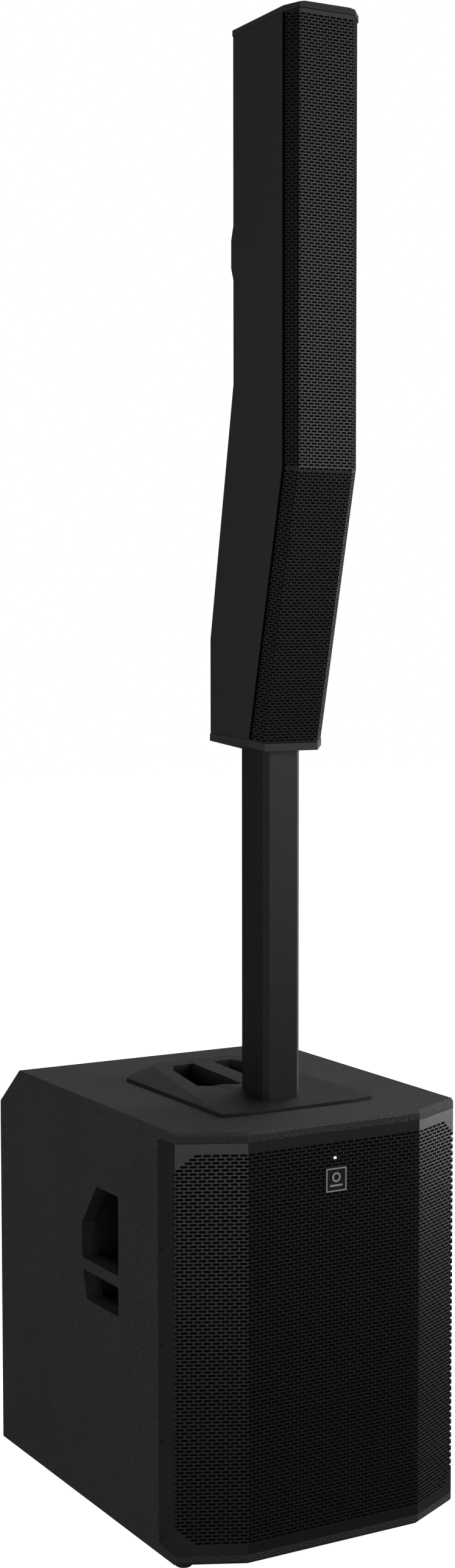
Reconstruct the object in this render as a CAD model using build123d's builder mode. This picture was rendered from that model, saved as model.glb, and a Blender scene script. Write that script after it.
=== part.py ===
"""Column loudspeaker: a bass cabinet on rubber feet, a pole that stands in the cabinet's top dock,
and a slim array that sits on the pole.

Millimetres. +Z up, the front faces -Y. The origin is on the floor, under the middle of the cabinet.
"""

from build123d import *
import os
from math import cos, radians, sin, tan

os.makedirs("parts", exist_ok=True)

# ---------------------------------------------------------------- bass cabinet, driving sizes
CABINET_WIDTH = 450.0
CABINET_DEPTH = 606.0
CABINET_HEIGHT = 588.0
FOOT_HEIGHT = 12.0
BOARD = 18.0                    # side, rear and baffle plywood
SLAB = 13.5                     # top and bottom plywood
EDGE_BEVEL = 4.0                # bevel on the front edges of the top and bottom boards
CORNER_X = 87.5                 # how far the slanted front corners reach across the front
CORNER_Y = 43.0                 # how far they reach back
REAR_SLOPE_Y = 71.0             # the slanted board at the top of the back
REAR_SLOPE_Z = 59.0

HALF_WIDTH = CABINET_WIDTH / 2
FRONT_Y = -CABINET_DEPTH / 2
REAR_Y = CABINET_DEPTH / 2
BASE_Z = FOOT_HEIGHT
TOP_Z = BASE_Z + CABINET_HEIGHT
INNER_BASE_Z = BASE_Z + SLAB
INNER_TOP_Z = TOP_Z - SLAB
INNER_HALF = HALF_WIDTH - BOARD
CORNER_FOLD_Y = FRONT_Y + CORNER_Y
SIDE_BOARD_FRONT_Y = CORNER_FOLD_Y + 3.0        # clear of the grille's inner fold
CENTRE_FACET_HALF = HALF_WIDTH - CORNER_X
REAR_SLOPE_RATIO = REAR_SLOPE_Y / REAR_SLOPE_Z

# ---------------------------------------------------------------- bass grille
GRILLE_SHEET = 1.5
GRILLE_GAP = 0.3                # between the grille and the boards above and below it
FLANGE_LENGTH = 48.0            # how far the grille laps back along each side
FLANGE_CORNER = 9.5             # bevel at the flange's free corners
FLANGE_SCREW_BACK = 39.5        # screw line, behind the fold
FLANGE_SCREW_PITCH = 132.5
FLANGE_SCREW_COUNT = 5
MESH_GAP = 0.4
MESH_SHEET = 0.8
MESH_SHORT = 12.0               # the mesh stops this far short of the side folds
BADGE_Z = 520.5
BADGE_SIZE = 33.5
LED_Z = 550.3
LED_HOLE_R = 2.6

# ---------------------------------------------------------------- bass driver and ports
BAFFLE_FRONT_Y = FRONT_Y + 41.0
WOOFER_Z = 380.0
WOOFER_FLANGE_R = 194.0
WOOFER_HOLE_R = 178.0
WOOFER_BOLT_R = 186.0
WOOFER_BOLTS = 8
CONE_LIP_R = 160.2
COIL_R = 50.4
PORT_X = 112.0
PORT_Z = 104.0
PORT_R = 46.0
PORT_LENGTH = 150.0

# ---------------------------------------------------------------- side handles
HANDLE_FRONT_Y = -94.0
HANDLE_REAR_Y = 20.5
HANDLE_BAR_LOW_Z = 349.5
HANDLE_BAR_HIGH_Z = 366.0
HANDLE_TOP_Z = 478.5
HANDLE_BOTTOM_Z = 308.0
HANDLE_CORNER_R = 4.0
CUP_FACE = 8.0                  # the cup's face, which thickens the bar behind the side board
CUP_WALL = 3.0
CUP_DEPTH = 55.0
CUP_MARGIN = 10.0

# ---------------------------------------------------------------- pole
POLE_HALF_X = 29.3
POLE_HALF_Y = 35.8
POLE_CENTRE_Y = -129.7
POLE_CORNER = 6.6
POLE_WALL = 2.5
POLE_SLIP = 0.4                 # running gap round the pole in both sockets
POLE_BOTTOM_Z = 520.0
POLE_TOP_Z = 1180.0
PLUG_LENGTH = 22.0
SOCKET_WALL = 3.0

# ---------------------------------------------------------------- dock
DOCK_HALF_X = 122.0
DOCK_FRONT_Y = -212.0
DOCK_FRONT_CORNER_Y = -206.0
DOCK_FRONT_HALF = 85.0
DOCK_REAR_CORNER_Y = 78.0
DOCK_REAR_Y = 109.0
DOCK_REAR_HALF = 96.0
DOCK_LIP = 5.0
DOCK_SLOPE = 0.0465             # rise of the top face towards the back
DOCK_RIDGE_X = 80.0             # where the side facets reach the top face, at the back
DOCK_RIDGE_Y = 76.0
DOCK_BLOCK_HEIGHT = 30.0
POCKET_FLOOR_Z = 548.0
GRIP_HALF = 16.5
GRIP_CENTRE_Z = 600.5

# ---------------------------------------------------------------- array
ARRAY_HALF = 58.5
ARRAY_SKIN = 4.0
ARRAY_FRONT_Y = -275.0          # outer face of the upper grille
ARRAY_REAR_Y = -126.8
ARRAY_LOW_REAR_Y = -61.0
SIDE_FRONT_GAP = 17.0           # the side wall starts this far behind the grille's face
KINK_Z = 1479.5                 # the front bends back below this height
TILT = 13.6                     # degrees
REAR_BEND_HIGH_Z = 1602.4
REAR_BEND_LOW_Z = 1250.7
PAD_PROUD = 6.0                 # raised pad across the back
PAD_LEVELS = (1743.6, 1760.1, 1798.0, 1817.7)
CAP_CORNER = 15.4
CAP_OVERHANG = 1.5
ARRAY_TOP_Z = 2088.0
ARRAY_BOTTOM_Z = 1097.7
TOP_CAP_EDGE = 8.2              # height of the top cap's visible edge
BOTTOM_CAP_EDGE = 10.6
TOP_CAP_DROPS = (5.3, 8.1)      # at the back of the slanted corner, and at the rear
BOTTOM_CAP_RISES = (5.8, 9.8)
ARRAY_GRILLE_SHEET = 1.2
ARRAY_GRILLE_HALF = 55.9
ARRAY_GRILLE_CORNER = 13.6
ARRAY_BOARD = 12.0
ARRAY_BOARD_BACK = 15.0         # from the grille's face to the board's face
DRIVER_HEIGHTS = (2002.0, 1888.0, 1774.0, 1660.0, 1546.0)
DRIVER_STEPS = (58.0, 156.0, 254.0)     # down the tilted part, from the kink
DRIVER_HOLE_R = 38.2
DRIVER_FLANGE_R = 44.0
DRIVER_BOLT_R = 41.0
DRIVER_BOLTS = 4

# ---------------------------------------------------------------- rear connection panel
PANEL_HALF_X = 150.0
PANEL_LOW_Z = 85.0
PANEL_HIGH_Z = 435.0
PANEL_SHEET = 3.0
PANEL_RECESS = 14.0
PANEL_LEDGE = 12.0
PANEL_FACE_Y = REAR_Y - PANEL_RECESS + PANEL_SHEET
FIN_COUNT = 16
FIN_PITCH = 16.5
FIN_REACH = 9.0
FIN_SHEET = 3.0
SINK_BASE = 2.0
SINK_HALF_X = 128.0
SINK_LOW_Z = 306.0
SINK_HIGH_Z = 418.0
THERMAL_PAD = 0.1               # thin pad between the heat sink and the panel
CONTROL_ROW_Z = 262.0
JACK_ROW_Z = 208.0
INPUT_XS = (62.0, 104.0)
OUTPUT_X = 12.0
ENCODER_X = 12.0
DISPLAY_X = -62.0
INLET_X = -92.0
INLET_Z = 132.0
ROCKER_X = -44.0
FOOT_XY = ((-200.0, -236.0), (200.0, -236.0), (-200.0, 273.0), (200.0, 273.0))


def low_front_y(z):
    """Outer face of the tilted lower grille at a height."""
    return ARRAY_FRONT_Y + (KINK_Z - z) * tan(radians(TILT))


def box_between(low, high):
    """A box from its lowest to its highest corner, added to the part being built."""
    middle = [(a + b) / 2 for a, b in zip(low, high)]
    with Locations(tuple(middle)):
        Box(*[b - a for a, b in zip(low, high)])


def cut_box(low, high):
    """The same box, taken away."""
    middle = [(a + b) / 2 for a, b in zip(low, high)]
    with Locations(tuple(middle)):
        Box(*[b - a for a, b in zip(low, high)], mode=Mode.SUBTRACT)


def below_plane(a, b, c):
    """Keeps what lies under the plane through three points."""
    a, b, c = Vector(*a), Vector(*b), Vector(*c)
    normal = (b - a).cross(c - a)
    if normal.Z < 0:
        normal = normal * -1
    split(bisect_by=Plane(origin=a, z_dir=normal), keep=Keep.BOTTOM)


def above_plane(a, b, c):
    """Keeps what lies over the plane through three points."""
    a, b, c = Vector(*a), Vector(*b), Vector(*c)
    normal = (b - a).cross(c - a)
    if normal.Z < 0:
        normal = normal * -1
    split(bisect_by=Plane(origin=a, z_dir=normal), keep=Keep.TOP)


def turning_plane(origin, outward):
    """Sketch plane with radius along its x and the outward direction along its y."""
    outward = Vector(*outward)
    across = Vector(0, 1, 0) if abs(outward.X) > 0.9 else Vector(1, 0, 0)
    return Plane(origin=origin, x_dir=across, z_dir=across.cross(outward))


def turned(origin, outward, profile):
    """A solid of revolution from (radius, height) points, about the outward direction."""
    with BuildSketch(turning_plane(origin, outward)) as section:
        Polygon(*profile, align=None)
    revolve(section.sketch, axis=Axis(origin, outward))


def round_bar(origin, outward, radius, low, high, mode=Mode.ADD):
    """A cylinder along the outward direction, from low to high."""
    plane = turning_plane(origin, outward)
    with BuildSketch(Plane(origin=origin, x_dir=plane.x_dir, z_dir=outward).offset(low)) as disc:
        Circle(radius)
    extrude(disc.sketch, amount=high - low, mode=mode)


# ================================================================ cabinet boards
def side_board_face():
    """Outline of a side board, seen from the side, with the slanted top of the back."""
    slope_top_y = REAR_Y - REAR_SLOPE_Y + SLAB * REAR_SLOPE_RATIO
    Polygon(
        (SIDE_BOARD_FRONT_Y, INNER_BASE_Z),
        (REAR_Y, INNER_BASE_Z),
        (REAR_Y, TOP_Z - REAR_SLOPE_Z),
        (slope_top_y, INNER_TOP_Z),
        (SIDE_BOARD_FRONT_Y, INNER_TOP_Z),
        align=None,
    )


def flange_face(grow):
    """The part of the side that the grille laps over; grow widens it for the rebate."""
    back = CORNER_FOLD_Y + FLANGE_LENGTH + grow
    low = INNER_BASE_Z
    high = INNER_TOP_Z
    Polygon(
        (CORNER_FOLD_Y, low),
        (back - FLANGE_CORNER, low),
        (back, low + FLANGE_CORNER),
        (back, high - FLANGE_CORNER),
        (back - FLANGE_CORNER, high),
        (CORNER_FOLD_Y, high),
        align=None,
    )


def handle_openings():
    """The two hand openings; the bar is what stays between them."""
    with BuildSketch(mode=Mode.PRIVATE) as openings:
        Polygon(
            (HANDLE_FRONT_Y, HANDLE_BAR_HIGH_Z),
            (HANDLE_REAR_Y, HANDLE_BAR_HIGH_Z),
            (HANDLE_REAR_Y, 415.5),
            (-27.5, HANDLE_TOP_Z),
            (HANDLE_FRONT_Y, HANDLE_TOP_Z),
            align=None,
        )
        Polygon(
            (HANDLE_FRONT_Y, HANDLE_BOTTOM_Z),
            (7.0, HANDLE_BOTTOM_Z),
            (17.5, HANDLE_BAR_LOW_Z),
            (HANDLE_FRONT_Y, HANDLE_BAR_LOW_Z),
            align=None,
        )
        fillet(openings.vertices(), radius=HANDLE_CORNER_R)
    return openings.sketch


FLANGE_SCREW_Y = CORNER_FOLD_Y + FLANGE_SCREW_BACK
FLANGE_SCREW_ZS = [
    BASE_Z + CABINET_HEIGHT / 2 + (i - (FLANGE_SCREW_COUNT - 1) / 2) * FLANGE_SCREW_PITCH
    for i in range(FLANGE_SCREW_COUNT)
]
SCREW_SPOTS = [(FLANGE_SCREW_Y, z) for z in FLANGE_SCREW_ZS]
OPENINGS = handle_openings()

with BuildPart() as right_side_panel:
    with BuildSketch(Plane.YZ.offset(INNER_HALF)):
        side_board_face()
    extrude(amount=BOARD)
    with BuildSketch(Plane.YZ.offset(HALF_WIDTH - GRILLE_SHEET)):
        flange_face(GRILLE_GAP)
    extrude(amount=GRILLE_SHEET, mode=Mode.SUBTRACT)
    with BuildSketch(Plane.YZ.offset(INNER_HALF)):
        add(OPENINGS)
    extrude(amount=BOARD, mode=Mode.SUBTRACT)
    with BuildSketch(Plane.YZ.offset(INNER_HALF)):
        with Locations(*SCREW_SPOTS):
            Circle(2.0)
    extrude(amount=BOARD, mode=Mode.SUBTRACT)
right_side_panel.part.label = "right_side_panel"
export_step(right_side_panel.part, "parts/right_side_panel.step")

with BuildPart() as left_side_panel:
    mirror(right_side_panel.part, about=Plane.YZ)
left_side_panel.part.label = "left_side_panel"
export_step(left_side_panel.part, "parts/left_side_panel.step")


def plan_outline(back_y):
    """Plan of the top and bottom boards, with the slanted front corners."""
    Polygon(
        (-HALF_WIDTH, CORNER_FOLD_Y),
        (-CENTRE_FACET_HALF, FRONT_Y),
        (CENTRE_FACET_HALF, FRONT_Y),
        (HALF_WIDTH, CORNER_FOLD_Y),
        (HALF_WIDTH, back_y),
        (-HALF_WIDTH, back_y),
        align=None,
    )


SLOPE_TOP_Y = REAR_Y - REAR_SLOPE_Y
SLOPE_LOW_Z = TOP_Z - REAR_SLOPE_Z
TUB_LOW = (-84.0, -91.0)
TUB_HIGH = (84.0, 78.0)

with BuildPart() as top_panel:
    with BuildSketch(Plane.XY.offset(INNER_TOP_Z)):
        plan_outline(SLOPE_TOP_Y + SLAB * REAR_SLOPE_RATIO)
    extrude(amount=SLAB)
    below_plane(
        (0, SLOPE_TOP_Y, TOP_Z),
        (100, SLOPE_TOP_Y, TOP_Z),
        (0, REAR_Y, SLOPE_LOW_Z),
    )
    top_rim = top_panel.edges().group_by(Axis.Z)[-1].filter_by(lambda e: e.center().Y < FRONT_Y + CORNER_Y)
    chamfer(top_rim, length=EDGE_BEVEL)
    cut_box((TUB_LOW[0], TUB_LOW[1], INNER_TOP_Z), (TUB_HIGH[0], TUB_HIGH[1], TOP_Z))
    cut_box(
        (-POLE_HALF_X - POLE_SLIP - SOCKET_WALL, POLE_CENTRE_Y - POLE_HALF_Y - POLE_SLIP - SOCKET_WALL,
         INNER_TOP_Z),
        (POLE_HALF_X + POLE_SLIP + SOCKET_WALL, TUB_LOW[1] + 1.0, TOP_Z),
    )
top_panel.part.label = "top_panel"
export_step(top_panel.part, "parts/top_panel.step")

with BuildPart() as bottom_panel:
    with BuildSketch(Plane.XY.offset(BASE_Z)):
        plan_outline(REAR_Y)
    extrude(amount=SLAB)
    bottom_rim = bottom_panel.edges().group_by(Axis.Z)[0].filter_by(
        lambda e: e.center().Y < FRONT_Y + CORNER_Y
    )
    chamfer(bottom_rim, length=EDGE_BEVEL)
    with BuildSketch(Plane.XY.offset(BASE_Z)):
        with Locations(*FOOT_XY):
            Circle(2.4)
    extrude(amount=SLAB, mode=Mode.SUBTRACT)
bottom_panel.part.label = "bottom_panel"
export_step(bottom_panel.part, "parts/bottom_panel.step")

with BuildPart() as rear_panel:
    box_between(
        (-INNER_HALF, REAR_Y - BOARD, INNER_BASE_Z),
        (INNER_HALF, REAR_Y, SLOPE_LOW_Z),
    )
    cut_box(
        (-PANEL_HALF_X - 0.5, REAR_Y - PANEL_RECESS, PANEL_LOW_Z - 0.5),
        (PANEL_HALF_X + 0.5, REAR_Y, PANEL_HIGH_Z + 0.5),
    )
    cut_box(
        (-PANEL_HALF_X + PANEL_LEDGE, REAR_Y - BOARD, PANEL_LOW_Z + PANEL_LEDGE),
        (PANEL_HALF_X - PANEL_LEDGE, REAR_Y, PANEL_HIGH_Z - PANEL_LEDGE),
    )
rear_panel.part.label = "rear_panel"
export_step(rear_panel.part, "parts/rear_panel.step")

with BuildPart() as rear_slope_panel:
    with BuildSketch(Plane.YZ.offset(-INNER_HALF)):
        Polygon(
            (REAR_Y, SLOPE_LOW_Z),
            (SLOPE_TOP_Y + SLAB * REAR_SLOPE_RATIO, INNER_TOP_Z),
            (SLOPE_TOP_Y - 12.0, INNER_TOP_Z),
            (REAR_Y - BOARD, SLOPE_LOW_Z),
            align=None,
        )
    extrude(amount=2 * INNER_HALF)
rear_slope_panel.part.label = "rear_slope_panel"
export_step(rear_slope_panel.part, "parts/rear_slope_panel.step")

with BuildPart() as front_baffle:
    box_between(
        (-INNER_HALF, BAFFLE_FRONT_Y, INNER_BASE_Z),
        (INNER_HALF, BAFFLE_FRONT_Y + BOARD, INNER_TOP_Z),
    )
    with BuildSketch(Plane.XZ.offset(-BAFFLE_FRONT_Y)):
        with Locations((0, WOOFER_Z)):
            Circle(WOOFER_HOLE_R)
        with Locations((-PORT_X, PORT_Z), (PORT_X, PORT_Z)):
            Circle(PORT_R + 3.0)
        with Locations((0, WOOFER_Z)):
            with PolarLocations(WOOFER_BOLT_R, WOOFER_BOLTS, start_angle=22.5):
                Circle(2.6)
    extrude(amount=-BOARD, mode=Mode.SUBTRACT)
front_baffle.part.label = "front_baffle"
export_step(front_baffle.part, "parts/front_baffle.step")

BRACE_Y = 118.0

with BuildPart() as window_brace:
    box_between(
        (-INNER_HALF, BRACE_Y, INNER_BASE_Z),
        (INNER_HALF, BRACE_Y + BOARD, INNER_TOP_Z),
    )
    with BuildSketch(Plane.XZ.offset(-BRACE_Y)):
        with Locations((0, 306.0)):
            RectangleRounded(300.0, 440.0, 40.0)
    extrude(amount=-BOARD, mode=Mode.SUBTRACT)
window_brace.part.label = "window_brace"
export_step(window_brace.part, "parts/window_brace.step")

with BuildPart() as absorber_mat:
    box_between((-180.0, -20.0, INNER_BASE_Z), (180.0, 110.0, INNER_BASE_Z + 30.0))
    chamfer(absorber_mat.edges().group_by(Axis.Z)[-1], length=6.0)
absorber_mat.part.label = "absorber_mat"
export_step(absorber_mat.part, "parts/absorber_mat.step")


# ================================================================ bass grille and badge
def folded_line(inset):
    """Plan points of the folded front, moved inwards by inset, from side fold to side fold."""
    side_x = HALF_WIDTH - inset
    slant = (CORNER_X ** 2 + CORNER_Y ** 2) ** 0.5
    fold_y = CORNER_FOLD_Y + inset * (slant - CORNER_Y) / CORNER_X
    facet_y = FRONT_Y + inset
    facet_x = side_x - (fold_y - facet_y) * CORNER_X / CORNER_Y
    return [(-side_x, fold_y), (-facet_x, facet_y), (facet_x, facet_y), (side_x, fold_y)]


def lapped_line(inset):
    """The same line, carried back along both sides to the end of the flanges."""
    side_x = HALF_WIDTH - inset
    flange_end_y = CORNER_FOLD_Y + FLANGE_LENGTH
    return [(-side_x, flange_end_y), *folded_line(inset), (side_x, flange_end_y)]


def cut_short(line, short):
    """A folded line whose two slanted ends stop short of the side folds."""
    back = short * CORNER_Y / CORNER_X
    (left_x, left_y), *middle, (right_x, right_y) = line
    return [(left_x + short, left_y - back), *middle, (right_x - short, right_y - back)]


with BuildPart() as front_grille:
    with BuildSketch(Plane.XY.offset(INNER_BASE_Z + GRILLE_GAP)):
        Polygon(*lapped_line(0.0), *reversed(lapped_line(GRILLE_SHEET)), align=None)
    extrude(amount=INNER_TOP_Z - INNER_BASE_Z - 2 * GRILLE_GAP)
    flange_corners = front_grille.edges().filter_by(Axis.X).group_by(Axis.Y)[-1]
    chamfer(flange_corners, length=FLANGE_CORNER)
    with BuildSketch(Plane.YZ.offset(-HALF_WIDTH)):
        with Locations(*SCREW_SPOTS):
            Circle(2.2)
    extrude(amount=2 * HALF_WIDTH, mode=Mode.SUBTRACT)
    with BuildSketch(Plane.XZ.offset(-FRONT_Y)):
        with Locations((0, LED_Z)):
            Circle(LED_HOLE_R)
    extrude(amount=-4.0, mode=Mode.SUBTRACT)
front_grille.part.label = "front_grille"
export_step(front_grille.part, "parts/front_grille.step")

MESH_OUTER = cut_short(folded_line(GRILLE_SHEET + MESH_GAP), MESH_SHORT)
MESH_INNER = cut_short(folded_line(GRILLE_SHEET + MESH_GAP + MESH_SHEET), MESH_SHORT)

with BuildPart() as grille_mesh:
    with BuildSketch(Plane.XY.offset(INNER_BASE_Z + 2.0)):
        Polygon(*MESH_OUTER, *reversed(MESH_INNER), align=None)
    extrude(amount=INNER_TOP_Z - INNER_BASE_Z - 4.0)
    with BuildSketch(Plane.XZ.offset(-FRONT_Y)):
        with Locations((0, LED_Z)):
            Circle(LED_HOLE_R + 1.6)
    extrude(amount=-6.0, mode=Mode.SUBTRACT)
grille_mesh.part.label = "grille_mesh"
export_step(grille_mesh.part, "parts/grille_mesh.step")

PAN_HEAD = [(0.0, 0.4), (1.1, 0.4), (1.3, 1.2), (3.4, 1.2), (4.3, 0.5), (4.3, 0.0), (1.9, 0.0),
            (1.9, -14.0), (0.0, -14.0)]

with BuildPart() as grille_screws:
    for side in (-1, 1):
        for y, z in SCREW_SPOTS:
            turned((side * HALF_WIDTH, y, z), (side, 0, 0), PAN_HEAD)
grille_screws.part.label = "grille_screws"
export_step(grille_screws.part, "parts/grille_screws.step")

with BuildPart() as badge_plate:
    with BuildSketch(Plane.XZ.offset(-FRONT_Y)):
        with Locations((0, BADGE_Z)):
            RectangleRounded(BADGE_SIZE, BADGE_SIZE, 1.2)
    extrude(amount=1.4)
    chamfer(badge_plate.faces().sort_by(Axis.Y)[0].edges(), length=0.5)
    with BuildSketch(Plane.XZ.offset(-FRONT_Y + 1.4)):
        with Locations((0, BADGE_Z)):
            RectangleRounded(BADGE_SIZE - 5.0, BADGE_SIZE - 5.0, 0.8)
    extrude(amount=-0.5, mode=Mode.SUBTRACT)
badge_plate.part.label = "badge_plate"
export_step(badge_plate.part, "parts/badge_plate.step")

with BuildPart() as power_led:
    turned(
        (0, FRONT_Y, LED_Z), (0, -1, 0),
        [(0, -12.0), (3.8, -12.0), (3.8, -2.2), (2.4, -2.2), (2.4, 0.3), (1.6, 0.8), (0, 1.0)],
    )
power_led.part.label = "power_led"
export_step(power_led.part, "parts/power_led.step")

# ================================================================ bass driver
WOOFER_FACE = (0, BAFFLE_FRONT_Y, WOOFER_Z)
FORWARD = (0, -1, 0)

BASKET_SHELL = [
    (171.0, 5.0), (WOOFER_FLANGE_R, 5.0), (WOOFER_FLANGE_R, 0.0), (176.5, 0.0), (176.5, -9.0),
    (112.0, -92.0), (102.0, -99.0), (62.0, -99.0), (62.0, -94.0), (98.0, -94.0), (171.0, -7.0),
]

with BuildPart() as woofer_basket:
    turned(WOOFER_FACE, FORWARD, BASKET_SHELL)
    with BuildSketch(Plane.XZ.offset(-BAFFLE_FRONT_Y - 14.0)):
        with Locations((0, WOOFER_Z)):
            with PolarLocations(134.0, 6):
                SlotOverall(58.0, 50.0, rotation=90)
    extrude(amount=-76.0, mode=Mode.SUBTRACT)
    with BuildSketch(Plane.XZ.offset(-BAFFLE_FRONT_Y)):
        with Locations((0, WOOFER_Z)):
            with PolarLocations(WOOFER_BOLT_R, WOOFER_BOLTS, start_angle=22.5):
                Circle(2.8)
    extrude(amount=6.0, mode=Mode.SUBTRACT)
woofer_basket.part.label = "woofer_basket"
export_step(woofer_basket.part, "parts/woofer_basket.step")

with BuildPart() as woofer_magnet:
    turned(
        WOOFER_FACE, FORWARD,
        [(0, -103.0), (47.5, -103.0), (47.5, -142.0), (53.5, -142.0), (53.5, -99.0), (82.0, -99.0),
         (82.0, -106.0), (92.0, -108.0), (92.0, -144.0), (82.0, -146.0), (82.0, -154.0), (0, -154.0)],
    )
woofer_magnet.part.label = "woofer_magnet"
export_step(woofer_magnet.part, "parts/woofer_magnet.step")

with BuildPart() as woofer_surround:
    with BuildSketch(turning_plane(WOOFER_FACE, FORWARD)) as roll_section:
        with Locations((168.0, 5.0)):
            Circle(7.2)
            Circle(5.9, mode=Mode.SUBTRACT)
        with Locations((168.0, -5.0)):
            Rectangle(30.0, 20.0, mode=Mode.SUBTRACT)
        Polygon((174.0, 5.0), (181.0, 5.0), (181.0, 6.3), (174.0, 6.3), align=None)
        Polygon((160.8, 5.2), (160.8, -1.0), (161.9, -1.0), (161.9, 5.8), align=None)
    revolve(roll_section.sketch, axis=Axis(WOOFER_FACE, FORWARD))
woofer_surround.part.label = "woofer_surround"
export_step(woofer_surround.part, "parts/woofer_surround.step")

with BuildPart() as woofer_spider:
    turned(
        WOOFER_FACE, FORWARD,
        [(51.4, -86.0), (58.0, -84.0), (64.0, -87.0), (70.0, -84.0), (76.0, -87.0), (82.0, -84.0),
         (88.0, -87.0), (94.0, -87.0), (94.0, -94.0), (90.0, -94.0), (90.0, -88.0), (88.0, -88.0),
         (82.0, -85.0), (76.0, -88.0), (70.0, -85.0), (64.0, -88.0), (58.0, -85.0), (51.4, -87.0)],
    )
woofer_spider.part.label = "woofer_spider"
export_step(woofer_spider.part, "parts/woofer_spider.step")

with BuildPart() as woofer_screws:
    for i in range(WOOFER_BOLTS):
        angle = radians(22.5 + i * 360 / WOOFER_BOLTS)
        spot = (WOOFER_BOLT_R * cos(angle), BAFFLE_FRONT_Y - 5.0, WOOFER_Z + WOOFER_BOLT_R * sin(angle))
        turned(
            spot, FORWARD,
            [(0, 1.5), (2.0, 1.5), (2.0, 3.4), (4.2, 3.4), (4.6, 3.0), (4.6, 0.0), (2.4, 0.0),
             (2.4, -20.0), (0, -20.0)],
        )
woofer_screws.part.label = "woofer_screws"
export_step(woofer_screws.part, "parts/woofer_screws.step")

with BuildPart() as woofer_cone:
    turned(
        WOOFER_FACE, FORWARD,
        [(158.9, 7.0), (CONE_LIP_R, 7.0), (CONE_LIP_R, -9.0), (150.0, -10.4), (54.0, -75.2),
         (COIL_R + 0.9, -75.2), (COIL_R + 0.9, -73.0), (150.0, -8.6), (158.9, -7.0)],
    )
woofer_cone.part.label = "woofer_cone"
export_step(woofer_cone.part, "parts/woofer_cone.step")

DOME_R = 96.3
DOME_SHEET = 1.4
DOME_TOP = -42.0
DOME_RIM = -64.6

with BuildPart() as woofer_dust_cap:
    with BuildSketch(turning_plane(WOOFER_FACE, FORWARD)) as dome_section:
        with Locations((0, DOME_TOP - DOME_R)):
            Circle(DOME_R)
            Circle(DOME_R - DOME_SHEET, mode=Mode.SUBTRACT)
        with Locations((0, DOME_RIM - DOME_R)):
            Rectangle(3 * DOME_R, 2 * DOME_R, mode=Mode.SUBTRACT)
        with Locations((-DOME_R, 0)):
            Rectangle(2 * DOME_R, 4 * DOME_R, mode=Mode.SUBTRACT)
        Polygon((60.4, -64.4), (61.9, -64.4), (61.9, -65.95), (60.4, -66.95), align=None)
    revolve(dome_section.sketch, axis=Axis(WOOFER_FACE, FORWARD))
woofer_dust_cap.part.label = "woofer_dust_cap"
export_step(woofer_dust_cap.part, "parts/woofer_dust_cap.step")

with BuildPart() as woofer_voice_coil:
    turned(
        WOOFER_FACE, FORWARD,
        [(COIL_R - 0.9, -70.0), (COIL_R, -70.0), (COIL_R, -104.0), (COIL_R + 1.2, -104.0),
         (COIL_R + 1.2, -126.0), (COIL_R - 0.9, -126.0)],
    )
woofer_voice_coil.part.label = "woofer_voice_coil"
export_step(woofer_voice_coil.part, "parts/woofer_voice_coil.step")

with BuildPart() as port_tubes:
    for side in (-1, 1):
        mouth = (side * PORT_X, BAFFLE_FRONT_Y, PORT_Z)
        turned(
            mouth, FORWARD,
            [(PORT_R, -PORT_LENGTH), (PORT_R + 3.0, -PORT_LENGTH), (PORT_R + 3.0, 0.0),
             (PORT_R + 12.0, 0.0), (PORT_R + 12.0, 2.5), (PORT_R + 8.0, 3.5), (PORT_R + 3.0, 1.0),
             (PORT_R, -5.0)],
        )
port_tubes.part.label = "port_tubes"
export_step(port_tubes.part, "parts/port_tubes.step")

# ================================================================ side handle cups
CUP_LOW = (HANDLE_FRONT_Y - CUP_MARGIN, HANDLE_BOTTOM_Z - CUP_MARGIN)
CUP_HIGH = (HANDLE_REAR_Y + CUP_MARGIN, HANDLE_TOP_Z + CUP_MARGIN)

with BuildPart() as right_handle_cup:
    box_between(
        (INNER_HALF - CUP_DEPTH, CUP_LOW[0], CUP_LOW[1]),
        (INNER_HALF, CUP_HIGH[0], CUP_HIGH[1]),
    )
    fillet(right_handle_cup.edges().filter_by(Axis.X), radius=6.0)
    fillet(right_handle_cup.faces().sort_by(Axis.X)[0].edges(), radius=4.0)
    cut_box(
        (INNER_HALF - CUP_DEPTH + CUP_WALL, CUP_LOW[0] + CUP_WALL, CUP_LOW[1] + CUP_WALL),
        (INNER_HALF - CUP_FACE, CUP_HIGH[0] - CUP_WALL, CUP_HIGH[1] - CUP_WALL),
    )
    with BuildSketch(Plane.YZ.offset(INNER_HALF - CUP_FACE)):
        add(OPENINGS)
    extrude(amount=CUP_FACE, mode=Mode.SUBTRACT)
right_handle_cup.part.label = "right_handle_cup"
export_step(right_handle_cup.part, "parts/right_handle_cup.step")

with BuildPart() as left_handle_cup:
    mirror(right_handle_cup.part, about=Plane.YZ)
left_handle_cup.part.label = "left_handle_cup"
export_step(left_handle_cup.part, "parts/left_handle_cup.step")


# ================================================================ dock
def dock_top(y):
    """Height of the dock's top face, which rises gently towards the back."""
    return TOP_Z + DOCK_LIP + DOCK_SLOPE * (y - DOCK_FRONT_CORNER_Y)


DOCK_OUTLINE = [
    (-DOCK_HALF_X, DOCK_FRONT_CORNER_Y), (-DOCK_FRONT_HALF, DOCK_FRONT_Y),
    (DOCK_FRONT_HALF, DOCK_FRONT_Y), (DOCK_HALF_X, DOCK_FRONT_CORNER_Y),
    (DOCK_HALF_X, DOCK_REAR_CORNER_Y), (DOCK_REAR_HALF, DOCK_REAR_Y),
    (-DOCK_REAR_HALF, DOCK_REAR_Y), (-DOCK_HALF_X, DOCK_REAR_CORNER_Y),
]
LIP_Z = TOP_Z + DOCK_LIP
RIDGE_Z = dock_top(DOCK_RIDGE_Y)
SPINE_FRONT_Y = -150.0
SPINE_WIDE_Y = -60.0

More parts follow.
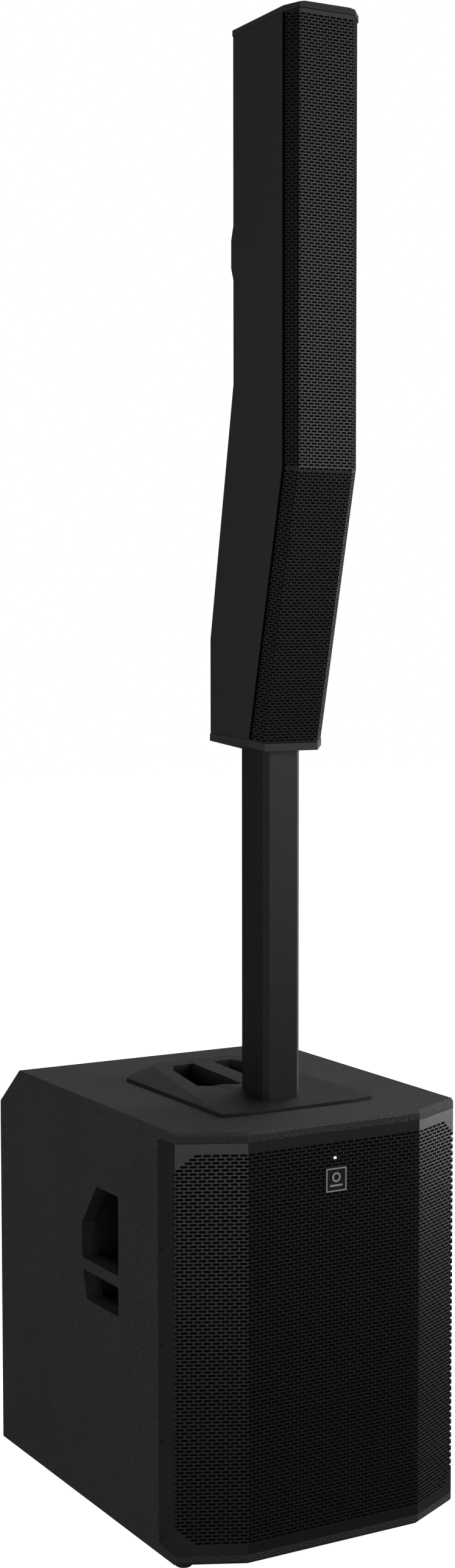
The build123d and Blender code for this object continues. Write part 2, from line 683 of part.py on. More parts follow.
with BuildPart() as dock_body:
    with BuildSketch(Plane.XY.offset(TOP_Z)):
        Polygon(*DOCK_OUTLINE, align=None)
    extrude(amount=DOCK_BLOCK_HEIGHT)
    below_plane((0, 0, dock_top(0)), (1, 0, dock_top(0)), (0, 10, dock_top(10)))
    for side in (-1, 1):
        below_plane(
            (side * DOCK_HALF_X, DOCK_FRONT_CORNER_Y, LIP_Z),
            (side * DOCK_HALF_X, DOCK_REAR_CORNER_Y, LIP_Z),
            (side * DOCK_RIDGE_X, DOCK_RIDGE_Y, RIDGE_Z),
        )
        below_plane(
            (side * DOCK_HALF_X, DOCK_REAR_CORNER_Y, LIP_Z),
            (side * DOCK_REAR_HALF, DOCK_REAR_Y, LIP_Z),
            (side * DOCK_RIDGE_X, DOCK_RIDGE_Y, RIDGE_Z),
        )
    below_plane((0, DOCK_REAR_Y, LIP_Z), (1, DOCK_REAR_Y, LIP_Z), (0, DOCK_REAR_Y - 15.0, LIP_Z + 14.0))

with BuildPart() as dock_spine:
    with BuildSketch(Plane.XY.offset(TOP_Z)):
        Polygon(
            (-59.0, SPINE_WIDE_Y), (-26.0, SPINE_FRONT_Y), (26.0, SPINE_FRONT_Y), (59.0, SPINE_WIDE_Y),
            (GRIP_HALF, -40.0), (GRIP_HALF, 78.0), (-GRIP_HALF, 78.0), (-GRIP_HALF, -40.0),
            align=None,
        )
    extrude(amount=DOCK_BLOCK_HEIGHT)
    below_plane((0, -65.0, 614.5), (1, -65.0, 614.5), (0, 54.0, 617.9))
    for side in (-1, 1):
        below_plane((side * 59.0, -60.0, 611.7), (side * 26.5, -148.0, 607.65), (side * 29.3, -101.0, 614.3))

POCKET_OUTLINE = [
    (-76.0, -53.0), (-62.0, 49.0), (-48.0, 69.0), (48.0, 69.0), (62.0, 49.0), (76.0, -53.0),
    (28.0, -79.0), (-28.0, -79.0),
]

with BuildPart() as hand_pocket:
    with BuildSketch(Plane.XY.offset(POCKET_FLOOR_Z)):
        Polygon(*POCKET_OUTLINE, align=None)
    extrude(amount=TOP_Z + DOCK_BLOCK_HEIGHT - POCKET_FLOOR_Z)
    with BuildSketch(Plane.XZ.offset(100.0)):
        with Locations((0, GRIP_CENTRE_Z)):
            Circle(GRIP_HALF)
        with Locations((0, GRIP_CENTRE_Z + 20.0)):
            Rectangle(2 * GRIP_HALF, 40.0)
    extrude(amount=-200.0, mode=Mode.SUBTRACT)

SOCKET_X = POLE_HALF_X + POLE_SLIP
SOCKET_Y = POLE_HALF_Y + POLE_SLIP


def pole_section(grow):
    """Plan of the pole, with bevelled corners, grown all round."""
    half_x = POLE_HALF_X + grow
    half_y = POLE_HALF_Y + grow
    with Locations((0, POLE_CENTRE_Y)):
        Polygon(
            (-half_x + POLE_CORNER, -half_y), (half_x - POLE_CORNER, -half_y),
            (half_x, -half_y + POLE_CORNER), (half_x, half_y - POLE_CORNER),
            (half_x - POLE_CORNER, half_y), (-half_x + POLE_CORNER, half_y),
            (-half_x, half_y - POLE_CORNER), (-half_x, -half_y + POLE_CORNER),
        )


with BuildPart() as dock_plate:
    add(dock_body.part)
    add(dock_spine.part)
    box_between(
        (TUB_LOW[0] + 1.0, TUB_LOW[1] + 5.0, POCKET_FLOOR_Z - 3.0),
        (TUB_HIGH[0] - 1.0, TUB_HIGH[1] - 1.0, TOP_Z),
    )
    box_between(
        (-SOCKET_X - SOCKET_WALL, POLE_CENTRE_Y - SOCKET_Y - SOCKET_WALL, POLE_BOTTOM_Z - 4.0),
        (SOCKET_X + SOCKET_WALL, POLE_CENTRE_Y + SOCKET_Y + SOCKET_WALL, TOP_Z),
    )
    add(hand_pocket.part, mode=Mode.SUBTRACT)
    with BuildSketch(Plane.XY.offset(POLE_BOTTOM_Z)):
        pole_section(POLE_SLIP)
    extrude(amount=150.0, mode=Mode.SUBTRACT)
    cut_box((-18.0, POLE_CENTRE_Y - 10.0, POLE_BOTTOM_Z - 4.0), (18.0, POLE_CENTRE_Y + 10.0, POLE_BOTTOM_Z))
dock_plate.part.label = "dock_plate"
export_step(dock_plate.part, "parts/dock_plate.step")

with BuildPart() as dock_contacts:
    box_between(
        (-17.6, POLE_CENTRE_Y - 9.6, POLE_BOTTOM_Z - 14.0),
        (17.6, POLE_CENTRE_Y + 9.6, POLE_BOTTOM_Z - 0.4),
    )
    with BuildSketch(Plane.XY.offset(POLE_BOTTOM_Z - 0.4)):
        with Locations((0, POLE_CENTRE_Y)):
            with GridLocations(7.5, 9.0, 4, 2):
                Circle(1.5)
    extrude(amount=0.3)
dock_contacts.part.label = "dock_contacts"
export_step(dock_contacts.part, "parts/dock_contacts.step")

# ================================================================ pole
with BuildPart() as pole_tube:
    with BuildSketch(Plane.XY.offset(POLE_BOTTOM_Z)):
        pole_section(0.0)
    extrude(amount=POLE_TOP_Z - POLE_BOTTOM_Z)
    with BuildSketch(Plane.XY.offset(POLE_BOTTOM_Z)):
        pole_section(-POLE_WALL)
    extrude(amount=POLE_TOP_Z - POLE_BOTTOM_Z, mode=Mode.SUBTRACT)
pole_tube.part.label = "pole_tube"
export_step(pole_tube.part, "parts/pole_tube.step")


def end_plug(low_z):
    """Moulded plug in one end of the pole, with a slot for its contact block."""
    with BuildSketch(Plane.XY.offset(low_z)) as plug:
        pole_section(-POLE_WALL)
    extrude(plug.sketch, amount=PLUG_LENGTH)
    cut_box(
        (-18.0, POLE_CENTRE_Y - 10.0, low_z),
        (18.0, POLE_CENTRE_Y + 10.0, low_z + PLUG_LENGTH),
    )


with BuildPart() as pole_plugs:
    end_plug(POLE_BOTTOM_Z)
    end_plug(POLE_TOP_Z - PLUG_LENGTH)
pole_plugs.part.label = "pole_plugs"
export_step(pole_plugs.part, "parts/pole_plugs.step")

with BuildPart() as pole_contacts:
    for low_z in (POLE_BOTTOM_Z + 0.4, POLE_TOP_Z - PLUG_LENGTH + 0.4):
        box_between(
            (-18.0, POLE_CENTRE_Y - 10.0, low_z),
            (18.0, POLE_CENTRE_Y + 10.0, low_z + PLUG_LENGTH - 0.8),
        )
pole_contacts.part.label = "pole_contacts"
export_step(pole_contacts.part, "parts/pole_contacts.step")

# ================================================================ array shell and caps
SHELL_FRONT_Y = ARRAY_FRONT_Y + SIDE_FRONT_GAP
CAP_FRONT_Y = ARRAY_FRONT_Y - CAP_OVERHANG
CAP_FOLD_Y = CAP_FRONT_Y + CAP_CORNER
LOW_CAP_FRONT_Y = low_front_y(ARRAY_BOTTOM_Z + BOTTOM_CAP_EDGE) - 1.0
LOW_CAP_FOLD_Y = LOW_CAP_FRONT_Y + CAP_CORNER
SEAM = 0.5
TOP_EDGE_ZS = [ARRAY_TOP_Z - TOP_CAP_EDGE - drop for drop in (0.0, *TOP_CAP_DROPS)]
LOW_EDGE_ZS = [ARRAY_BOTTOM_Z + BOTTOM_CAP_EDGE + rise for rise in (0.0, *BOTTOM_CAP_RISES)]
LOW_RIM_ZS = [ARRAY_BOTTOM_Z + rise for rise in (0.0, *BOTTOM_CAP_RISES)]
TOP_RIM_ZS = [ARRAY_TOP_Z - drop for drop in (0.0, *TOP_CAP_DROPS)]

SHELL_SIDE = [
    (SHELL_FRONT_Y, TOP_EDGE_ZS[1] - SEAM),
    (ARRAY_REAR_Y, TOP_EDGE_ZS[2] - SEAM),
    (ARRAY_REAR_Y, PAD_LEVELS[3]),
    (ARRAY_REAR_Y + PAD_PROUD, PAD_LEVELS[2]),
    (ARRAY_REAR_Y + PAD_PROUD, PAD_LEVELS[1]),
    (ARRAY_REAR_Y, PAD_LEVELS[0]),
    (ARRAY_REAR_Y, REAR_BEND_HIGH_Z),
    (ARRAY_LOW_REAR_Y, REAR_BEND_LOW_Z),
    (ARRAY_LOW_REAR_Y, LOW_EDGE_ZS[2] + SEAM),
    (low_front_y(LOW_EDGE_ZS[1]) + SIDE_FRONT_GAP, LOW_EDGE_ZS[1] + SEAM),
    (SHELL_FRONT_Y, KINK_Z + 2.0),
]
SHELL_HOLLOW = [
    (ARRAY_FRONT_Y - 100.0, ARRAY_TOP_Z + 50.0),
    (ARRAY_REAR_Y - ARRAY_SKIN, ARRAY_TOP_Z + 50.0),
    (ARRAY_REAR_Y - ARRAY_SKIN, REAR_BEND_HIGH_Z - 0.4),
    (ARRAY_LOW_REAR_Y - ARRAY_SKIN, REAR_BEND_LOW_Z - 0.4),
    (ARRAY_LOW_REAR_Y - ARRAY_SKIN, ARRAY_BOTTOM_Z - 50.0),
    (ARRAY_FRONT_Y - 100.0, ARRAY_BOTTOM_Z - 50.0),
]

with BuildPart() as array_shell:
    with BuildSketch(Plane.YZ.offset(-ARRAY_HALF)):
        Polygon(*SHELL_SIDE, align=None)
    extrude(amount=2 * ARRAY_HALF)
    rear_corners = array_shell.faces().filter_by(lambda f: f.normal_at().Y > 0.5).edges().filter_by(
        lambda e: abs(abs(e.center().X) - ARRAY_HALF) < 0.01
    )
    chamfer(rear_corners, length=1.6)
    with BuildSketch(Plane.YZ.offset(-ARRAY_HALF + ARRAY_SKIN)):
        Polygon(*SHELL_HOLLOW, align=None)
    extrude(amount=2 * (ARRAY_HALF - ARRAY_SKIN), mode=Mode.SUBTRACT)
array_shell.part.label = "array_shell"
export_step(array_shell.part, "parts/array_shell.step")


def cap_plan(front_y, back_y):
    """Plan of a cap, with slanted front corners."""
    Polygon(
        (-ARRAY_HALF + CAP_CORNER, front_y), (ARRAY_HALF - CAP_CORNER, front_y),
        (ARRAY_HALF, front_y + CAP_CORNER), (ARRAY_HALF, back_y),
        (-ARRAY_HALF, back_y), (-ARRAY_HALF, front_y + CAP_CORNER),
        align=None,
    )


TOP_BEVEL = tan(radians(12.0))
LOW_BEVEL = tan(radians(20.0))
CAP_REACH = 30.0
DIAGONAL = CAP_REACH * cos(radians(45.0))
LOW_BACK_Y = ARRAY_LOW_REAR_Y + 0.5
TOP_BACK_Y = ARRAY_REAR_Y + 0.5

with BuildPart() as array_top_cap:
    with BuildSketch(Plane.YZ.offset(-ARRAY_HALF)):
        Polygon(
            (CAP_FRONT_Y, TOP_EDGE_ZS[0]), (CAP_FOLD_Y, TOP_EDGE_ZS[1]), (TOP_BACK_Y, TOP_EDGE_ZS[2]),
            (TOP_BACK_Y, ARRAY_TOP_Z), (CAP_FRONT_Y, ARRAY_TOP_Z),
            align=None,
        )
    extrude(amount=2 * ARRAY_HALF)
    with BuildSketch(Plane.XY.offset(ARRAY_TOP_Z - 50.0)):
        cap_plan(CAP_FRONT_Y, TOP_BACK_Y)
    extrude(amount=100.0, mode=Mode.INTERSECT)
    for side in (-1, 1):
        fold = (side * ARRAY_HALF, CAP_FOLD_Y, TOP_RIM_ZS[1])
        back = (side * ARRAY_HALF, TOP_BACK_Y, TOP_RIM_ZS[2])
        nose = (side * (ARRAY_HALF - CAP_CORNER), CAP_FRONT_Y, TOP_RIM_ZS[0])
        rise = CAP_REACH * TOP_BEVEL
        below_plane(fold, back, (side * (ARRAY_HALF - CAP_REACH), CAP_FOLD_Y, fold[2] + rise))
        below_plane(fold, nose, (nose[0] - side * DIAGONAL, nose[1] + DIAGONAL, nose[2] + rise))
    below_plane(
        (0, TOP_BACK_Y, TOP_RIM_ZS[2]), (1, TOP_BACK_Y, TOP_RIM_ZS[2]),
        (0, TOP_BACK_Y - CAP_REACH, TOP_RIM_ZS[2] + CAP_REACH * TOP_BEVEL),
    )
    box_between(
        (-ARRAY_HALF + ARRAY_SKIN + 0.6, -243.0, TOP_EDGE_ZS[2] - 10.0),
        (ARRAY_HALF - ARRAY_SKIN - 0.6, ARRAY_REAR_Y - ARRAY_SKIN - 0.6, TOP_EDGE_ZS[2] + 2.0),
    )
array_top_cap.part.label = "array_top_cap"
export_step(array_top_cap.part, "parts/array_top_cap.step")

with BuildPart() as array_bottom_cap:
    with BuildSketch(Plane.YZ.offset(-ARRAY_HALF)):
        Polygon(
            (LOW_CAP_FRONT_Y, ARRAY_BOTTOM_Z), (LOW_BACK_Y, ARRAY_BOTTOM_Z), (LOW_BACK_Y, LOW_EDGE_ZS[2]),
            (LOW_CAP_FOLD_Y, LOW_EDGE_ZS[1]), (LOW_CAP_FRONT_Y, LOW_EDGE_ZS[0]),
            align=None,
        )
    extrude(amount=2 * ARRAY_HALF)
    with BuildSketch(Plane.XY.offset(ARRAY_BOTTOM_Z - 50.0)):
        cap_plan(LOW_CAP_FRONT_Y, LOW_BACK_Y)
    extrude(amount=100.0, mode=Mode.INTERSECT)
    for side in (-1, 1):
        fold = (side * ARRAY_HALF, LOW_CAP_FOLD_Y, LOW_RIM_ZS[1])
        back = (side * ARRAY_HALF, LOW_BACK_Y, LOW_RIM_ZS[2])
        nose = (side * (ARRAY_HALF - CAP_CORNER), LOW_CAP_FRONT_Y, LOW_RIM_ZS[0])
        fall = CAP_REACH * LOW_BEVEL
        above_plane(fold, back, (side * (ARRAY_HALF - CAP_REACH), LOW_CAP_FOLD_Y, fold[2] - fall))
        above_plane(fold, nose, (nose[0] - side * DIAGONAL, nose[1] + DIAGONAL, nose[2] - fall))
    above_plane(
        (0, LOW_BACK_Y, LOW_RIM_ZS[2]), (1, LOW_BACK_Y, LOW_RIM_ZS[2]),
        (0, LOW_BACK_Y - 62.0, ARRAY_BOTTOM_Z),
    )
    box_between(
        (-ARRAY_HALF + ARRAY_SKIN + 0.6, -154.0, LOW_EDGE_ZS[1] - 6.0),
        (ARRAY_HALF - ARRAY_SKIN - 0.6, ARRAY_LOW_REAR_Y - ARRAY_SKIN - 0.6, LOW_EDGE_ZS[2] + 8.0),
    )
    with BuildSketch(Plane.XY.offset(ARRAY_BOTTOM_Z - 20.0)):
        pole_section(POLE_SLIP)
    extrude(amount=60.0, mode=Mode.SUBTRACT)
array_bottom_cap.part.label = "array_bottom_cap"
export_step(array_bottom_cap.part, "parts/array_bottom_cap.step")

SLEEVE_LOW_Z = LOW_EDGE_ZS[2] + 8.0

with BuildPart() as array_socket:
    with BuildSketch(Plane.XY.offset(SLEEVE_LOW_Z)):
        pole_section(POLE_SLIP + SOCKET_WALL)
    extrude(amount=POLE_TOP_Z + 4.0 - SLEEVE_LOW_Z)
    with BuildSketch(Plane.XY.offset(SLEEVE_LOW_Z)):
        pole_section(POLE_SLIP)
    extrude(amount=POLE_TOP_Z - SLEEVE_LOW_Z, mode=Mode.SUBTRACT)
    cut_box((-18.0, POLE_CENTRE_Y - 10.0, POLE_TOP_Z), (18.0, POLE_CENTRE_Y + 10.0, POLE_TOP_Z + 4.0))
array_socket.part.label = "array_socket"
export_step(array_socket.part, "parts/array_socket.step")

with BuildPart() as array_contacts:
    box_between(
        (-17.6, POLE_CENTRE_Y - 9.6, POLE_TOP_Z + 0.4),
        (17.6, POLE_CENTRE_Y + 9.6, POLE_TOP_Z + 14.0),
    )
array_contacts.part.label = "array_contacts"
export_step(array_contacts.part, "parts/array_contacts.step")

# ================================================================ array front
FRONT_PATH = [
    (0, ARRAY_FRONT_Y, ARRAY_TOP_Z + 4.0),
    (0, ARRAY_FRONT_Y, KINK_Z),
    (0, low_front_y(ARRAY_BOTTOM_Z - 10.0), ARRAY_BOTTOM_Z - 10.0),
]
HALF_TURN = tan(radians(22.5))


def front_sheet(inset, sheet, short):
    """Plan section of a folded front sheet; inset from the outer face, short at its free edges."""
    fold = ARRAY_GRILLE_HALF - ARRAY_GRILLE_CORNER
    reach = ARRAY_GRILLE_CORNER - short
    drop = cos(radians(45.0))
    points = []
    for depth in (inset, inset + sheet):
        points.append([
            (-fold - reach + depth * drop, reach + depth * drop),
            (-fold + depth * HALF_TURN, depth),
            (fold - depth * HALF_TURN, depth),
            (fold + reach - depth * drop, reach + depth * drop),
        ])
    return [*points[0], *reversed(points[1])]


def swept_front(section):
    """Runs a plan section down the array's kinked front."""
    moved = [(x, y + ARRAY_FRONT_Y) for x, y in section]
    with BuildSketch(Plane.XY.offset(ARRAY_TOP_Z + 4.0)) as profile:
        Polygon(*moved, align=None)
    sweep(profile.sketch, path=Wire.make_polygon(FRONT_PATH, close=False), transition=Transition.RIGHT)


def trim_front(gap):
    """Cuts a swept front piece off just under the top cap and just over the bottom cap."""
    below_plane(
        (0, CAP_FRONT_Y, TOP_EDGE_ZS[0] - gap), (1, CAP_FRONT_Y, TOP_EDGE_ZS[0] - gap),
        (0, CAP_FOLD_Y, TOP_EDGE_ZS[1] - gap),
    )
    above_plane(
        (0, LOW_CAP_FRONT_Y, LOW_EDGE_ZS[0] + gap), (1, LOW_CAP_FRONT_Y, LOW_EDGE_ZS[0] + gap),
        (0, LOW_CAP_FOLD_Y, LOW_EDGE_ZS[1] + gap),
    )


with BuildPart() as array_grille:
    swept_front(front_sheet(0.0, ARRAY_GRILLE_SHEET, 0.0))
    trim_front(0.3)
array_grille.part.label = "array_grille"
export_step(array_grille.part, "parts/array_grille.step")

with BuildPart() as array_mesh:
    swept_front(front_sheet(ARRAY_GRILLE_SHEET + 0.3, 0.6, 2.0))
    trim_front(0.8)
array_mesh.part.label = "array_mesh"
export_step(array_mesh.part, "parts/array_mesh.step")

COS_TILT = cos(radians(TILT))
SIN_TILT = sin(radians(TILT))
UPPER_FACES = [((0, ARRAY_FRONT_Y + ARRAY_BOARD_BACK, z), (0, -1, 0)) for z in DRIVER_HEIGHTS]
LOWER_FACES = [
    (
        (0, ARRAY_FRONT_Y + step * SIN_TILT + ARRAY_BOARD_BACK * COS_TILT,
         KINK_Z - step * COS_TILT + ARRAY_BOARD_BACK * SIN_TILT),
        (0, -COS_TILT, -SIN_TILT),
    )
    for step in DRIVER_STEPS
]
DRIVER_FACES = UPPER_FACES + LOWER_FACES


def facing(face):
    """Sketch plane on a driver's mounting face, looking out of the array."""
    return Plane(origin=face[0], x_dir=(1, 0, 0), z_dir=face[1])


with BuildPart() as array_baffle:
    rim_out = 53.9
    rim_in = 46.0
    rim_slope = 3.4 - (ARRAY_GRILLE_HALF - ARRAY_GRILLE_CORNER)
    back = ARRAY_BOARD_BACK + ARRAY_BOARD
    swept_front([
        (-rim_out, back), (-rim_out, rim_out + rim_slope), (-rim_in, rim_in + rim_slope),
        (-rim_in, ARRAY_BOARD_BACK), (rim_in, ARRAY_BOARD_BACK), (rim_in, rim_in + rim_slope),
        (rim_out, rim_out + rim_slope), (rim_out, back),
    ])
    below_plane((0, 0, TOP_EDGE_ZS[2] - 1.0), (1, 0, TOP_EDGE_ZS[2] - 1.0), (0, 1, TOP_EDGE_ZS[2] - 1.0))
    above_plane((0, 0, LOW_EDGE_ZS[2] + 1.0), (1, 0, LOW_EDGE_ZS[2] + 1.0), (0, 1, LOW_EDGE_ZS[2] + 1.0))
    for face in DRIVER_FACES:
        with BuildSketch(facing(face)):
            Circle(DRIVER_HOLE_R)
        extrude(amount=-ARRAY_BOARD - 6.0, mode=Mode.SUBTRACT)
        with BuildSketch(facing(face)):
            with PolarLocations(DRIVER_BOLT_R, DRIVER_BOLTS, start_angle=45.0):
                Circle(1.5)
        extrude(amount=-ARRAY_BOARD, mode=Mode.SUBTRACT)
    cut_box((-36.0, -170.2, ARRAY_BOTTOM_Z), (36.0, -60.0, POLE_TOP_Z + 6.0))
array_baffle.part.label = "array_baffle"
export_step(array_baffle.part, "parts/array_baffle.step")

with BuildPart() as array_driver_baskets:
    for face in DRIVER_FACES:
        turned(
            *face,
            [(36.0, 3.0), (DRIVER_FLANGE_R, 3.0), (DRIVER_FLANGE_R, 0.0), (37.8, 0.0), (37.8, -3.0),
             (23.0, -27.0), (8.0, -27.0), (8.0, -25.0), (21.6, -25.0), (36.0, -2.0)],
        )
        with BuildSketch(facing(face)):
            with PolarLocations(DRIVER_BOLT_R, DRIVER_BOLTS, start_angle=45.0):
                Circle(1.6)
        extrude(amount=4.0, mode=Mode.SUBTRACT)
array_driver_baskets.part.label = "array_driver_baskets"
export_step(array_driver_baskets.part, "parts/array_driver_baskets.step")

with BuildPart() as array_driver_magnets:
    for face in DRIVER_FACES:
        turned(*face, [(0, -27.0), (20.0, -27.0), (20.0, -44.0), (18.5, -46.0), (0, -46.0)])
array_driver_magnets.part.label = "array_driver_magnets"
export_step(array_driver_magnets.part, "parts/array_driver_magnets.step")

with BuildPart() as array_driver_surrounds:
    for face in DRIVER_FACES:
        with BuildSketch(turning_plane(*face)) as small_roll:
            with Locations((35.4, 3.0)):
                Circle(2.4)
                Circle(1.7, mode=Mode.SUBTRACT)
            with Locations((35.4, -2.0)):
                Rectangle(12.0, 10.0, mode=Mode.SUBTRACT)
            Polygon((37.2, 3.0), (38.2, 3.0), (38.2, 3.7), (37.2, 3.7), align=None)
            Polygon((33.0, 3.1), (33.0, -0.6), (33.7, -0.6), (33.7, 3.4), align=None)
        revolve(small_roll.sketch, axis=Axis(*face))
array_driver_surrounds.part.label = "array_driver_surrounds"
export_step(array_driver_surrounds.part, "parts/array_driver_surrounds.step")

SMALL_CONE = [
    (0, -10.0), (6.0, -11.0), (10.0, -14.6), (31.6, -1.4), (31.6, 3.6), (32.6, 3.6), (32.6, -2.2),
    (10.4, -15.8), (6.0, -12.2), (0, -11.2),
]

with BuildPart() as array_upper_cones:
    for face in UPPER_FACES:
        turned(*face, SMALL_CONE)
array_upper_cones.part.label = "array_upper_cones"
export_step(array_upper_cones.part, "parts/array_upper_cones.step")

with BuildPart() as array_lower_cones:
    for face in LOWER_FACES:
        turned(*face, SMALL_CONE)
array_lower_cones.part.label = "array_lower_cones"
export_step(array_lower_cones.part, "parts/array_lower_cones.step")

with BuildPart() as array_driver_screws:
    for face in DRIVER_FACES:
        plane = facing(face)
        for i in range(DRIVER_BOLTS):
            angle = radians(45.0 + i * 360 / DRIVER_BOLTS)
            spot = plane.from_local_coords(
                (DRIVER_BOLT_R * cos(angle), DRIVER_BOLT_R * sin(angle), 3.0)
            )
            turned(spot, face[1], [(0, 1.6), (2.0, 1.6), (2.6, 1.0), (2.6, 0), (1.4, 0), (1.4, -12.0),
                                   (0, -12.0)])
array_driver_screws.part.label = "array_driver_screws"
export_step(array_driver_screws.part, "parts/array_driver_screws.step")

FILTER_BACK_Y = ARRAY_REAR_Y - ARRAY_SKIN

with BuildPart() as array_filter_board:
    box_between((-40.0, FILTER_BACK_Y - 14.0, 1640.0), (40.0, FILTER_BACK_Y - 12.4, 1740.0))
    for x in (-34.0, 34.0):
        for z in (1646.0, 1734.0):
            round_bar((x, FILTER_BACK_Y, z), (0, -1, 0), 3.0, 0.0, 12.4)
    for x, z, radius, height in ((-18.0, 1670.0, 11.0, 22.0), (16.0, 1706.0, 9.0, 26.0),
                                 (18.0, 1662.0, 6.0, 16.0), (-20.0, 1712.0, 7.0, 14.0)):
        round_bar((x, FILTER_BACK_Y - 14.0, z), (0, -1, 0), radius, 0.0, height)
array_filter_board.part.label = "array_filter_board"
export_step(array_filter_board.part, "parts/array_filter_board.step")

# ================================================================ feet
with BuildPart() as rubber_feet:
    for x, y in FOOT_XY:
        turned(
            (x, y, BASE_Z), (0, 0, -1),
            [(2.6, 0), (13.0, 0), (13.0, 4.0), (12.2, 10.4), (10.6, FOOT_HEIGHT), (6.2, FOOT_HEIGHT),
             (5.4, 4.0), (2.6, 4.0)],
        )
rubber_feet.part.label = "rubber_feet"
export_step(rubber_feet.part, "parts/rubber_feet.step")

with BuildPart() as foot_screws:
    for x, y in FOOT_XY:
        turned(
            (x, y, BASE_Z), (0, 0, -1),
            [(0, 5.4), (1.6, 5.4), (1.6, 6.8), (4.0, 6.8), (4.6, 4.0), (2.2, 4.0), (2.2, -12.0),
             (0, -12.0)],
        )
foot_screws.part.label = "foot_screws"
export_step(foot_screws.part, "parts/foot_screws.step")

# ================================================================ rear connection panel
BACKWARD = (0, 1, 0)
PANEL_PLANE = Plane(origin=(0, PANEL_FACE_Y, 0), x_dir=(-1, 0, 0), z_dir=(0, 1, 0))
INLET_LOW_X = INLET_X - 20.0
INLET_HIGH_X = ROCKER_X + 14.0
INLET_TALL = 32.0
PANEL_SCREW_XZ = [
    (x, z)
    for x in (-PANEL_HALF_X + 6.0, 0.0, PANEL_HALF_X - 6.0)
    for z in (PANEL_LOW_Z + 6.0, (PANEL_LOW_Z + PANEL_HIGH_Z) / 2, PANEL_HIGH_Z - 6.0)
    if x or z != (PANEL_LOW_Z + PANEL_HIGH_Z) / 2
]
DISPLAY_WIDE = 56.0
DISPLAY_TALL = 28.0


def panel_hole(x, z, radius, depth):
    """A round hole in the rear panel, from its outer face."""
    round_bar((x, PANEL_FACE_Y, z), BACKWARD, radius, -depth, 0.0, mode=Mode.SUBTRACT)


with BuildPart() as amp_panel:
    box_between(
        (-PANEL_HALF_X, PANEL_FACE_Y - PANEL_SHEET, PANEL_LOW_Z),
        (PANEL_HALF_X, PANEL_FACE_Y, PANEL_HIGH_Z),
    )
    box_between(
        (-SINK_HALF_X, PANEL_FACE_Y + THERMAL_PAD, SINK_LOW_Z),
        (SINK_HALF_X, PANEL_FACE_Y + SINK_BASE, SINK_HIGH_Z),
    )
    for i in range(FIN_COUNT):
        x = (i - (FIN_COUNT - 1) / 2) * FIN_PITCH
        box_between(
            (x - FIN_SHEET / 2, PANEL_FACE_Y + THERMAL_PAD, SINK_LOW_Z),
            (x + FIN_SHEET / 2, PANEL_FACE_Y + FIN_REACH, SINK_HIGH_Z),
        )
    for x in INPUT_XS:
        panel_hole(x, JACK_ROW_Z, 12.2, PANEL_SHEET)
        panel_hole(x, CONTROL_ROW_Z, 3.4, PANEL_SHEET)
    panel_hole(OUTPUT_X, JACK_ROW_Z, 12.2, PANEL_SHEET)
    panel_hole(ENCODER_X, CONTROL_ROW_Z, 3.4, PANEL_SHEET)
    for x, z in PANEL_SCREW_XZ:
        panel_hole(x, z, 2.2, PANEL_SHEET)
    cut_box(
        (DISPLAY_X - DISPLAY_WIDE / 2, PANEL_FACE_Y - PANEL_SHEET, CONTROL_ROW_Z - DISPLAY_TALL / 2),
        (DISPLAY_X + DISPLAY_WIDE / 2, PANEL_FACE_Y, CONTROL_ROW_Z + DISPLAY_TALL / 2),
    )
    cut_box(
        (INLET_LOW_X + 3.0, PANEL_FACE_Y - PANEL_SHEET, INLET_Z - INLET_TALL / 2 + 3.0),
        (INLET_HIGH_X - 3.0, PANEL_FACE_Y, INLET_Z + INLET_TALL / 2 - 3.0),
    )
amp_panel.part.label = "amp_panel"
export_step(amp_panel.part, "parts/amp_panel.step")

with BuildPart() as amp_screws:
    for x, z in PANEL_SCREW_XZ:
        turned(
            (x, PANEL_FACE_Y, z), BACKWARD,
            [(0, 0.8), (1.6, 0.8), (1.6, 2.2), (3.2, 2.2), (4.0, 1.4), (4.0, 0), (2.0, 0),
             (2.0, -PANEL_SHEET), (0, -PANEL_SHEET)],
        )
amp_screws.part.label = "amp_screws"
export_step(amp_screws.part, "parts/amp_screws.step")

AMP_BOARD_Y = 242.0
PANEL_BACK_Y = PANEL_FACE_Y - PANEL_SHEET

with BuildPart() as amp_board:
    box_between((-120.0, AMP_BOARD_Y - 2.0, 112.0), (120.0, AMP_BOARD_Y, 300.0))
    for x in (-114.0, 114.0):
        for z in (118.0, 294.0):
            round_bar((x, PANEL_BACK_Y, z), BACKWARD, 3.5, AMP_BOARD_Y - PANEL_BACK_Y, 0.0)
    for i in range(4):
        round_bar((-90.0 + 38.0 * i, AMP_BOARD_Y - 2.0, 278.0), (0, -1, 0), 12.5, 0.0, 42.0)
    for x, z, wide, tall, deep in ((60.0, 150.0, 50.0, 36.0, 26.0), (-60.0, 160.0, 40.0, 60.0, 12.0),
                                   (0.0, 200.0, 30.0, 30.0, 5.0)):
        box_between(
            (x - wide / 2, AMP_BOARD_Y - 2.0 - deep, z - tall / 2),
            (x + wide / 2, AMP_BOARD_Y - 2.0, z + tall / 2),
        )
amp_board.part.label = "amp_board"
export_step(amp_board.part, "parts/amp_board.step")

with BuildPart() as power_transformer:
    turned(
        (0, PANEL_BACK_Y, 362.0), (0, -1, 0),
        [(0, 0), (30.0, 0), (30.0, 3.0), (46.0, 3.0), (50.0, 8.0), (50.0, 36.0), (46.0, 41.0),
         (22.0, 41.0), (20.0, 38.0), (20.0, 44.0), (0, 44.0)],
    )
power_transformer.part.label = "power_transformer"
export_step(power_transformer.part, "parts/power_transformer.step")

